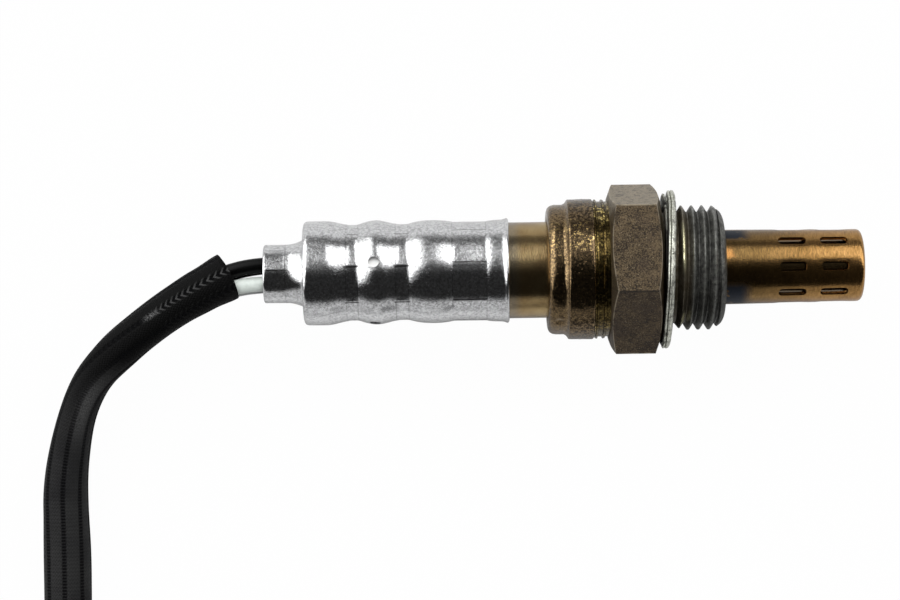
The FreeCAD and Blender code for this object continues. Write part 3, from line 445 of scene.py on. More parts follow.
@dataclass(frozen=True)
class BurntSteel(Finish):
    """Turned steel, scaled brown by heat, with bright specks where the scale has gone, and painted glints where they
    gather in the band that catches the highlight.
    """

    dark: Colour = (54, 45, 34)
    pale: Colour = (136, 115, 86)
    fleck_and_glint: Colour = (236, 204, 140)
    fleck_share: float = 0.7
    glint_way: float = 28.0
    fleck_all: float = 0.12
    smooth: float = 0.0
    scabby: float = 0.8

    def paint(self, tree: Tree) -> dict:
        """Return scale, pits and bright specks, partly painted glints in the highlight band, with black scabs above
        and below.

        Args:
            tree: The material's tree.

        Returns:
            The main shader's inputs by name.
        """
        vector, _, y, z = tree.place()
        way = tree.way(y, z)
        cloud = tree.grain(vector, 420, 4.0, 0.6)
        fine = tree.grain(vector, 3600, 4.0, 0.7)
        chips = tree.grain(vector, 1900, 3.0, 0.62)
        # Painted glints: the bright specks gather in the band at the chosen angle, where the highlight falls; the rest
        # are spread evenly.
        glint_band = way.near(self.glint_way, 26) * (1 - self.fleck_all) + self.fleck_all
        flecks_and_glints = chips.rise(0.52, 0.6) * cloud.rise(0.42, 0.56) * glint_band * self.fleck_share
        pits = tree.cells(vector, 2300).rise(0.34, 0.12) * fine.rise(0.45, 0.62)
        scabs = tree.grain(vector, 2100, 4.0, 0.7).rise(0.49, 0.535) * way.size().rise(32, 50)
        scale = tree.mix(fine.rise(0.3, 0.7), self.dark, self.pale)
        colour = tree.coats(
            scale,
            (flecks_and_glints, self.fleck_and_glint),
            (pits * (1 - self.smooth), (26, 21, 17)),
            (scabs * self.scabby, (20, 15, 10)))
        return {
            "Base Color": colour,
            "Metallic": 1.0,
            "Roughness": 0.18 - flecks_and_glints * 0.05 - self.smooth * 0.02,
            "Normal": tree.bump(fine + chips - pits * 1.2, 0.000016 * (1.0 - 0.5 * self.smooth)),
        }


@dataclass(frozen=True)
class HexSteel(Finish):
    """Hexagon faces: matt brown scale with a fine sparkle, worn at the edges, with painted light on the upper flat and
    painted shade on the lower flat and along the edge above it.
    """

    flat_deg: float = 15.0
    flat_from_axis: float = 0.011
    face_r: float = 0.0103
    rear: float = -0.0077
    front: float = -0.0003
    steep: float = 2.75

    def cone(self, radius: Value, depth: Value) -> Value:
        """Return where a surface lies on a chamfer, from its radius and its depth behind the end face."""
        return (radius - depth * self.steep - self.face_r).size().rise(0.0002, 0.00004)

    def paint(self, tree: Tree) -> dict:
        """Return mottled scale with pale grains and stains, painted light on the upper flat, painted shade on the
        lower flat and a painted dark line along the lower edge.

        Args:
            tree: The material's tree.

        Returns:
            The main shader's inputs by name.
        """
        vector, x, y, z = tree.place()
        way, radius = tree.way(y, z), tree.radius(y, z)
        upper, lower = way.rise(44, 46), way.rise(-14.5, -15.5)
        cloud = tree.grain(vector, 500, 4.0, 0.7)
        fine = tree.grain(vector, 4600, 3.0, 0.75)
        stain = tree.grain(vector, 190, 3.0, 0.6).rise(0.5, 0.7)
        sparkle = tree.cells(vector, 4200).rise(0.34, 0.12) * fine.rise(0.48, 0.62)
        blotch = tree.grain(vector, 1100, 4.0, 0.75).rise(0.5, 0.62) * (0.25 + upper * 0.4)
        pits = tree.grain(vector, 2400, 3.0, 0.7).rise(0.41, 0.33)
        sixth = math.pi / 3
        turn = (tree.angle(y, z) - math.radians(self.flat_deg)) / sixth
        local = ((turn + 0.5).maths("FRACT") - 0.5) * sixth
        corners = (radius * local.sine()).size().rise(0.00605, 0.00632) * cloud.rise(0.35, 0.6)
        cones = self.cone(radius, x - self.rear).most(self.cone(radius, self.front - x))
        flats = (radius * local.maths("COSINE") - self.flat_from_axis).size().rise(0.0003, 0.00012)
        worn = (corners * 0.6 * (1 - way.near(-15.0, 4.0))).most(cones * flats * cloud.rise(0.35, 0.55) * 0.45)
        scale = tree.mix((fine * 0.7 + cloud * 0.3).rise(0.4, 0.6), (30, 24, 16), (99, 84, 62))
        colour = tree.coats(
            scale,
            (stain * 0.4, (64, 53, 44)),
            # Painted light: the upper flat is lighter.
            (upper * 0.4, (170, 160, 140)),
            (blotch, (44, 35, 26)),
            # Painted shade: the lower flat is darker.
            (lower * 0.38, (48, 38, 30)),
            (sparkle * 0.3, (190, 178, 154)),
            (pits * 0.9, (26, 20, 15)),
            # Painted shade: a dark line along the edge between the middle and the lower flat.
            (way.near(-15.4, 1.3) * 0.85, (30, 24, 18)),
            (cones * (1 - flats) * 0.45, (50, 41, 24)),
            (worn, (176, 165, 146)))
        return {
            "Base Color": colour,
            "Metallic": 0.6,
            "Roughness": 0.46 - sparkle * 0.12 - worn * 0.1,
            "Normal": tree.bump(fine * 1.4 + cloud - pits, 0.00002),
        }


@dataclass(frozen=True)
class GreasedSteel(Finish):
    """Thread under a grey film of assembly grease, thinner on the crests, with painted shade on its lower side and a
    painted highlight along its first root.
    """

    crest: float = 0.00895
    first_root: float = 0.0027

    def paint(self, tree: Tree) -> dict:
        """Return the film, its bare crests and its pale specks, with painted shade on the lower side and a painted
        highlight along the first root.

        Args:
            tree: The material's tree.

        Returns:
            The main shader's inputs by name.
        """
        vector, x, y, z = tree.place()
        way = tree.way(y, z)
        film = tree.grain(vector, 1500, 4.0, 0.65)
        smear = tree.lathe_lines(x, tree.angle(y, z), (900, 9), 3.0, 0.6)
        bare = tree.radius(y, z).rise(self.crest - 0.0003, self.crest) * (film * 0.6 + smear * 0.7).rise(0.42, 0.8)
        specks = tree.cells(vector, 3000).rise(0.28, 0.08) * film.rise(0.45, 0.65)
        # Painted highlight: a bright line along the first root, in the bands that catch the light.
        first_root_highlight = (way.near(21, 30) * 1.7).most(way.near(-62, 16) * 1.4).least(1.0)
        first_root_highlight = x.near(self.first_root, 0.00036) * first_root_highlight
        grease = tree.mix(film.rise(0.3, 0.7), (52, 52, 50), (98, 98, 94))
        colour = tree.coats(
            grease,
            (bare * 0.7, (124, 125, 120)),
            (specks * 0.6, (190, 190, 178)),
            (x.rise(0.0042, 0.0031) * 0.5, (96, 82, 54)),
            # Painted shade: darker on the lower side.
            (way.rise(-12, -45) * 0.5, (26, 26, 23)),
            (first_root_highlight, (246, 240, 196)))
        return {
            "Base Color": colour,
            "Metallic": 0.75,
            "Roughness": 0.46 - bare * 0.14 - first_root_highlight * 0.2,
            "Normal": tree.bump(film + smear * 0.8, 0.000025),
        }


@dataclass(frozen=True)
class CrushedSteel(Finish):
    """Gasket sheet: bright where the folds rub, with soot in its pits and painted shade on its inner part and on the
    rear layer against the hexagon.
    """

    rim_from: float = 0.01062
    fold_x: float = 0.00048

    def paint(self, tree: Tree) -> dict:
        """Return bright sheet with sooty dents and painted shade towards the hexagon.

        Args:
            tree: The material's tree.

        Returns:
            The main shader's inputs by name.
        """
        vector, x, y, z = tree.place()
        soot = tree.grain(vector, 700, 4.0, 0.66)
        fine = tree.grain(vector, 3800, 3.0, 0.66)
        pits = tree.cells(vector, 1900).rise(0.3, 0.1) * soot.rise(0.42, 0.6)
        upright = x - (y * Gasket.tilt_y + z * Gasket.tilt_z)
        behind = upright.rise(self.fold_x + 0.00004, self.fold_x - 0.00004)
        rubbed = tree.way(y, z).rise(20, 50) * soot.rise(0.62, 0.45) * 0.8
        # Painted shade: the inner part and the rear layer against the hexagon are dark, lifted in patches on the upper
        # side.
        gap_shade = tree.radius(y, z).rise(self.rim_from, self.rim_from - 0.00017).most(behind) * (1 - rubbed)
        sheet = tree.mix(fine.rise(0.25, 0.75), (156, 157, 146), (222, 223, 212))
        colour = tree.coats(
            sheet,
            (soot.rise(0.52, 0.66) * 0.7, (56, 56, 50)),
            (pits, (20, 20, 18)),
            (gap_shade, (24, 23, 20)))
        return {
            "Base Color": colour,
            "Metallic": 0.9,
            "Roughness": 0.36 + soot * 0.16,
            "Normal": tree.bump(fine + soot - pits * 1.5, 0.00003),
        }


@dataclass(frozen=True)
class BronzeTint(Finish):
    """Protection tube, tinted bronze by hot gas and sooty at its root."""

    root_x: float = 0.0092
    tip_x: float = 0.0294

    def paint(self, tree: Tree) -> dict:
        """Return the tint, deeper at the root, with turned streaks, soot and a bare copper patch.

        Args:
            tree: The material's tree.

        Returns:
            The main shader's inputs by name.
        """
        vector, x, y, z = tree.place()
        way = tree.way(y, z)
        lines = tree.lathe_lines(x, tree.angle(y, z), (5200, 5), 4.0, 0.7)
        grain = tree.grain(vector, 4200, 3.0, 0.66)
        cloud = tree.grain(vector, 300, 3.0, 0.6)
        along = (x - self.root_x) / (self.tip_x - self.root_x)
        warm = tree.mix(along.rise(0.1, 0.9), (134, 107, 67), (186, 143, 88))
        deep = tree.mix(along.rise(0.1, 0.9), (94, 73, 43), (130, 97, 54))
        tint = tree.blend((lines * 0.7 + cloud * 0.4).rise(0.36, 0.74), deep, warm)
        sooty = way.near(62, 24).most(way.near(-54, 42)).most(way.size().rise(110, 140) * 0.7)
        ragged = tree.grain(vector, 640, 3.0, 0.6).rise(0.25, 0.4)
        soot = along.rise(0.2, 0.09) * sooty.rise(0.0, 0.6) * ragged
        copper = along.rise(0.07, 0.01) * way.near(20, 18) * tree.grain(vector, 900, 2.0, 0.5).rise(0.4, 0.6)
        return {
            "Base Color": tree.coats(tint, (soot * 0.95, (38, 46, 57)), (copper * 0.45, (236, 168, 96))),
            "Metallic": 1.0,
            "Roughness": 0.17 + lines * 0.06 + soot * 0.3,
            "Normal": tree.bump(grain + lines * 0.9, 0.000018),
        }


@dataclass(frozen=True)
class PlainMetal(Finish):
    """Simple satin metal for pieces that show little."""

    colour: Colour = (190, 188, 182)
    roughness: float = 0.3

    def paint(self, tree: Tree) -> dict:
        """Return satin metal with a fine grain.

        Args:
            tree: The material's tree.

        Returns:
            The main shader's inputs by name.
        """
        vector, *_ = tree.place()
        grain = tree.grain(vector, 3000, 3.0, 0.6)
        deep = tuple(part * 0.8 for part in self.colour)
        return {
            "Base Color": tree.mix(grain.rise(0.3, 0.7), deep, self.colour),
            "Metallic": 1.0,
            "Roughness": self.roughness + grain * 0.08,
            "Normal": tree.bump(grain, 0.000004),
        }


@dataclass(frozen=True)
class Moulded(Finish):
    """Moulded plastic, rubber, ceramic or film in one colour, with a fine texture."""

    colour: Colour = (40, 40, 42)
    roughness: float = 0.5
    texture_depth: float = 0.00001
    coat: float = 0.0

    def paint(self, tree: Tree) -> dict:
        """Return the colour with slight clouds and a moulded texture.

        Args:
            tree: The material's tree.

        Returns:
            The main shader's inputs by name.
        """
        vector, *_ = tree.place()
        cloud = tree.grain(vector, 240, 3.0, 0.55)
        texture = tree.grain(vector, 2600, 3.0, 0.6)
        pale = tuple(min(255.0, part * 1.08 + 3) for part in self.colour)
        deep = tuple(part * 0.88 for part in self.colour)
        return {
            "Base Color": tree.mix(cloud.rise(0.3, 0.7), deep, pale),
            "Roughness": self.roughness + (texture - 0.5) * 0.12,
            "Coat Weight": self.coat,
            "Normal": tree.bump(texture, self.texture_depth),
        }


@dataclass(frozen=True)
class KnitSleeve(Finish):
    """Black yarn tube with stitched ribs, read along (u, in metres) and round (v, 0 to 1) its own map."""

    stitch: float = 0.00046
    chevron: float = 0.0009
    ribs: int = 8
    seam: float = 18 / 64
    twist: float = 0.058
    twist_from: float = 10.0
    twist_to: float = 30.0
    chain_end: float = 0.0110

    def paint(self, tree: Tree) -> dict:
        """Return smooth bands between dashed stitch lines, and a chevron seam that ends in a knot.

        Args:
            tree: The material's tree.

        Returns:
            The main shader's inputs by name.
        """
        turn = 2 * math.pi
        u, v, _ = tree.split(tree.add("ShaderNodeUVMap", {"uv_map": "Sleeve"}, {}))
        v = v - u.rise(self.twist_from * MM, self.twist_to * MM) * self.twist
        across = (((v - self.seam) * self.ribs + 0.5).maths("FRACT") - 0.5).size()
        vector, *_ = tree.place()
        fuzz = tree.grain(vector, 4200, 3.0, 0.7)
        cloud = tree.grain(vector, 130, 3.0, 0.6)
        near_mouth = u.rise(0.040, 0.021)
        knit = (u * (turn / self.chevron) + across * 18).sine()
        fine_knit = (u * (turn / self.chevron * 1.6) + (v * (turn * 48)).sine() * 1.4).sine() * 0.5 + 0.5
        dash = (u * (turn / self.stitch)).sine().rise(-0.5, 0.3)
        line = across.rise(0.19, 0.08)
        chain = u.rise(self.chain_end + 0.0006, self.chain_end)
        spine = knit.rise(0.0, 0.8) * across.rise(0.3, 0.2) * near_mouth * (0.05 + 0.95 * chain)
        knot = u.near(self.chain_end + 0.0008, 0.0019) * v.near(self.seam, 0.03) * fuzz.rise(0.42, 0.56)
        bend_sheen = u.near(0.0285, 0.010) * v.near(0.1, 0.1) * fuzz.rise(0.25, 0.5)
        outer_edge = v.near(0.44, 0.08) * u.near(0.019, 0.014) * knit.rise(0.2, 0.9) * fuzz.rise(0.4, 0.55)
        calm = 1 - u.near(0.026, 0.014) * 0.45
        colour = tree.coats(
            tree.mix(cloud.rise(0.3, 0.7), (25, 25, 26), (36, 36, 36)),
            (near_mouth, (4, 4, 4)),
            (bend_sheen * 0.55, (84, 84, 84)),
            (outer_edge * 0.7, (104, 104, 104)),
            (fuzz.rise(0.5, 0.8) * 0.15 * (1 - near_mouth * 0.7), (44, 44, 44)),
            (fine_knit * 0.35, (8, 8, 8)),
            (line * (0.45 + 0.55 * dash) * calm, (3, 3, 4)),
            (spine * (0.05 + 0.95 * v.near(self.seam, 0.042)) * 0.75, (64, 64, 64)),
            (knot * 0.85, (96, 96, 96)))
        height = fine_knit * 0.35 + fuzz * 0.3 - line * (0.4 + 0.6 * dash) + spine * 0.8
        return {
            "Base Color": colour,
            "Roughness": 0.55 + line * 0.25,
            "Specular IOR Level": 0.06,
            "Normal": tree.bump(height, 0.0001, 0.9),
        }


@dataclass(frozen=True)
class WireJacket(Finish):
    """Extruded wire insulation."""

    colour: Colour = (4, 4, 4)
    shine: float = 0.5

    def paint(self, tree: Tree) -> dict:
        """Return smooth insulation with faint handling marks.

        Args:
            tree: The material's tree.

        Returns:
            The main shader's inputs by name.
        """
        vector, *_ = tree.place()
        marks = tree.grain(vector, 700, 3.0, 0.6)
        fine = tree.grain(vector, 3600, 2.0, 0.5)
        deep = tuple(part * 0.86 for part in self.colour)
        return {
            "Base Color": tree.mix(marks.rise(0.35, 0.75), self.colour, deep),
            "Roughness": 0.28 + marks * 0.12,
            "Specular IOR Level": self.shine,
            "Normal": tree.bump(fine + marks * 0.5, 0.000006),
        }


class Looks(Enum):
    """Every finish of the sensor, by what it covers."""

    SHELL = ShellSteel("shell_steel")
    GOLD = GoldSteel("gold_tinted_steel")
    COLLAR = BurntSteel("burnt_collar_steel", fleck_share=0.85)
    LIP = BurntSteel("burnt_lip_steel", pale=(150, 127, 94), fleck_share=0.5, smooth=0.25, scabby=0.3)
    GROOVE = BurntSteel("groove_steel", dark=(18, 14, 9), pale=(122, 104, 62), fleck_and_glint=(238, 214, 138),
                        fleck_share=0.95, glint_way=52.0, fleck_all=0.3, scabby=0.6)
    HEXAGON = HexSteel("hexagon_steel")
    THREAD = GreasedSteel("greased_thread_steel")
    GASKET = CrushedSteel("crushed_gasket_steel")
    TUBE = BronzeTint("bronze_tinted_steel")
    INNER_TUBE = PlainMetal("inner_tube_steel", colour=(128, 106, 72), roughness=0.18)
    PLATED = PlainMetal("plated_metal", colour=(206, 204, 198), roughness=0.22)
    CERAMIC = Moulded("white_ceramic", colour=(226, 222, 212), roughness=0.55)
    ELEMENT = Moulded("element_ceramic", colour=(206, 200, 184), roughness=0.35, coat=0.3)
    TALC = Moulded("pressed_talc", colour=(206, 206, 198), roughness=0.9)
    GROMMET = Moulded("grommet_rubber", colour=(30, 30, 31), roughness=0.6)
    FILM = Moulded("porous_film", colour=(244, 244, 242), roughness=0.7)
    SLEEVE = KnitSleeve("knitted_sleeve")
    WIRE_BLACK = WireJacket("black_insulation", shine=0.12)
    WIRE_WHITE = WireJacket("white_insulation", colour=(190, 197, 192))
    WIRE_GREY = WireJacket("grey_insulation", colour=(150, 153, 152))
    TIE = Moulded("tie_nylon", colour=(32, 32, 33), roughness=0.42)
    CONNECTOR = Moulded("connector_plastic", colour=(44, 45, 47), roughness=0.48, texture_depth=0.00002)
    LOCK = Moulded("lock_plastic", colour=(150, 152, 154), roughness=0.45)
    SEAL = Moulded("seal_silicone", colour=(150, 62, 34), roughness=0.5)


# ---------------------------------------------------------------- modelling helpers


def deselect() -> None:
    """Leave every object unselected, outside edit mode."""
    active = bpy.context.view_layer.objects.active
    if active is not None and active.mode != "OBJECT":
        bpy.ops.object.mode_set(mode="OBJECT")
    for obj in bpy.context.view_layer.objects:
        obj.select_set(False)


def only(obj: bpy.types.Object) -> bpy.types.Object:
    """Select one object alone and make it active.

    Args:
        obj: The object.

    Returns:
        The same object.
    """
    deselect()
    obj.select_set(True)
    bpy.context.view_layer.objects.active = obj
    return obj


def bell(away: float, reach: float) -> float:
    """Return 1 where away is 0, falling off smoothly over reach."""
    return math.exp(-(away / reach) ** 2)


def eased(share: float) -> float:
    """Return a share held within 0 and 1, with a soft start and end."""
    share = min(1.0, max(0.0, share))
    return share * share * (3 - 2 * share)


def ease(start: Point, end: Point, count: int, out: float = 0.0, into: float = 0.0) -> list[Point]:
    """Points of a smooth blend between two places of a profile.

    Args:
        start: Where it starts, as x and radius.
        end: Where it ends.
        count: Number of points after the start.
        out: Slope with which it leaves the start.
        into: Slope with which it meets the end.

    Returns:
        The points after the start, the end included.
    """
    length = end[0] - start[0]
    points = []
    for step in range(1, count + 1):
        t = step / count
        h00, h10 = 2 * t ** 3 - 3 * t ** 2 + 1, t ** 3 - 2 * t ** 2 + t
        h01, h11 = 3 * t ** 2 - 2 * t ** 3, t ** 3 - t ** 2
        radius = h00 * start[1] + h10 * length * out + h01 * end[1] + h11 * length * into
        points.append((start[0] + t * length, radius))
    return points


def rounding(start: Point, corner: Point, end: Point, count: int = 5) -> list[Point]:
    """Points of a rounded corner.

    Args:
        start: Where the rounding starts, as x and radius.
        corner: The sharp corner that it stands for.
        end: Where it ends.
        count: Number of steps.

    Returns:
        The points, with both ends.
    """
    points = []
    for step in range(count + 1):
        t = step / count
        points.append(tuple(
            (1 - t) ** 2 * start[i] + 2 * t * (1 - t) * corner[i] + t ** 2 * end[i] for i in (0, 1)))
    return points


def spaced(start: Point, end: Point, step: float) -> list[Point]:
    """Evenly spaced points of a straight part of a profile.

    Args:
        start: Where it starts, as x and radius.
        end: Where it ends.
        step: About how far apart they are.

    Returns:
        The points after the start, the end included.
    """
    count = max(1, round(math.dist(start, end) / step))
    return [tuple(start[i] + (end[i] - start[i]) * k / count for i in (0, 1)) for k in range(1, count + 1)]


def drawn(start: Sequence[float], steps: Sequence[Sequence[float]]) -> bpy.types.Object:
    """Draw a line of edges by extruding one vertex from step to step.

    Args:
        start: Where it begins, in metres.
        steps: The move to each next point.

    Returns:
        The line, in edit mode.
    """
    deselect()
    bpy.ops.mesh.primitive_plane_add(size=MM)
    obj = bpy.context.active_object
    bpy.ops.object.mode_set(mode="EDIT")
    bpy.ops.mesh.merge(type="CENTER")
    bpy.ops.transform.translate(value=start)
    for step in steps:
        bpy.ops.mesh.extrude_vertices_move(TRANSFORM_OT_translate={"value": step})
    return obj


def turned(name: str, profile: Sequence[Point], start_deg: float = 0.0, sides: int = SIDES) -> bpy.types.Object:
    """Spin a profile round the axis, as on a lathe.

    Args:
        name: The object's name.
        profile: Points as x and radius, in millimetres.
        start_deg: Where the first side starts, from straight up towards -Y.
        sides: Number of steps round.

    Returns:
        The turned object, with its normals outwards and its doubles merged.
    """
    turn = math.radians(start_deg)
    way = Vector((0.0, -math.sin(turn), math.cos(turn)))
    points = [(Vector((x, 0.0, 0.0)) + way * radius) * MM for x, radius in profile]
    obj = drawn(points[0], [after - before for before, after in zip(points, points[1:])])
    obj.name = obj.data.name = name
    bpy.ops.mesh.select_all(action="SELECT")
    bpy.ops.mesh.spin(steps=sides, angle=2 * math.pi, center=(0, 0, 0), axis=(1, 0, 0))
    bpy.ops.mesh.select_all(action="SELECT")
    bpy.ops.mesh.remove_doubles(threshold=2e-7)
    bpy.ops.mesh.normals_make_consistent(inside=False)
    bpy.ops.object.mode_set(mode="OBJECT")
    return obj


def add_mesh(name: str, mesh: bmesh.types.BMesh) -> bpy.types.Object:
    """Turn a mesh under construction into an object, with its faces outwards.

    Args:
        name: The object's name.
        mesh: The mesh, which is freed.

    Returns:
        The object.
    """
    bmesh.ops.recalc_face_normals(mesh, faces=mesh.faces)
    data = bpy.data.meshes.new(name)
    mesh.to_mesh(data)
    mesh.free()
    obj = bpy.data.objects.new(name, data)
    bpy.context.scene.collection.objects.link(obj)
    return obj


def shape_points(obj: bpy.types.Object, rule: Callable[[Vector], Vector]) -> None:
    """Move every vertex of an object by a rule.

    Args:
        obj: The object.
        rule: Takes a vertex's place and returns its new one, both in millimetres.
    """
    mesh = bmesh.new()
    mesh.from_mesh(obj.data)
    for vertex in mesh.verts:
        vertex.co = rule(vertex.co / MM) * MM
    mesh.to_mesh(obj.data)
    mesh.free()
    obj.data.update()


def combine(obj: bpy.types.Object, tool: bpy.types.Object, operation: str) -> None:
    """Cut or intersect an object with a tool, and remove the tool.

    Args:
        obj: The object.
        tool: The object that it is combined with.
        operation: The Boolean modifier's operation.
    """
    only(obj)
    modifier = obj.modifiers.new("combine", "BOOLEAN")
    modifier.object = tool
    modifier.operation = operation
    modifier.solver = "EXACT"
    bpy.ops.object.modifier_apply(modifier=modifier.name)
    bpy.data.objects.remove(tool)


def soften(obj: bpy.types.Object, width: float, segments: int, limit_deg: float) -> None:
    """Bevel an object's sharp edges.

    Args:
        obj: The object.
        width: The bevel's width, in millimetres.
        segments: Its number of faces across.
        limit_deg: The smallest angle that counts as sharp.
    """
    only(obj)
    modifier = obj.modifiers.new("soften", "BEVEL")
    modifier.width = width * MM
    modifier.segments = segments
    modifier.limit_method = "ANGLE"
    modifier.angle_limit = math.radians(limit_deg)
    modifier.harden_normals = False
    bpy.ops.object.modifier_apply(modifier=modifier.name)


def smooth(obj: bpy.types.Object, angle_deg: float = 32.0) -> None:
    """Shade an object smooth, with its sharp edges kept."""
    only(obj)
    bpy.ops.object.shade_smooth_by_angle(angle=math.radians(angle_deg))


def dress(obj: bpy.types.Object, look: Looks) -> None:
    """Give an object one finish all over."""
    obj.data.materials.clear()
    obj.data.materials.append(look.value.material())


def joined(name: str, parts: Sequence[bpy.types.Object]) -> bpy.types.Object:
    """Join several objects into the first.

    Args:
        name: The new name.
        parts: The objects.

    Returns:
        The joined object.
    """
    only(parts[0])
    for part in parts:
        part.select_set(True)
    bpy.ops.object.join()
    obj = bpy.context.active_object
    obj.name = obj.data.name = name
    return obj


def seat(obj: bpy.types.Object, slot: str, *nodes: str) -> bpy.types.Object:
    """Put a finished piece on the body, in place of the CAD nodes that it stands for.

    Args:
        obj: The piece.
        slot: Not used.
        nodes: The CAD nodes that it replaces.

    Returns:
        The piece.
    """
    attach(obj, BODY)
    if nodes:
        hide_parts(*nodes)
    LOG.info("%s: %d faces, for %s", obj.name, len(obj.data.polygons), ", ".join(nodes) or "no node")
    return obj


def polar(point: Vector) -> tuple[float, float]:
    """Return a point's radius and its angle from straight up towards -Y, in degrees."""
    return math.hypot(point.y, point.z), math.degrees(math.atan2(-point.y, point.z))


def at_radius(point: Vector, radius: float) -> Vector:
    """Move a point in or out, square to the axis.

    Args:
        point: The point.
        radius: Its new distance from the axis.

    Returns:
        The moved point.
    """
    here = math.hypot(point.y, point.z)
    if here < 1e-6:
        return point
    return Vector((point.x, point.y * radius / here, point.z * radius / here))


# ---------------------------------------------------------------- the sensor


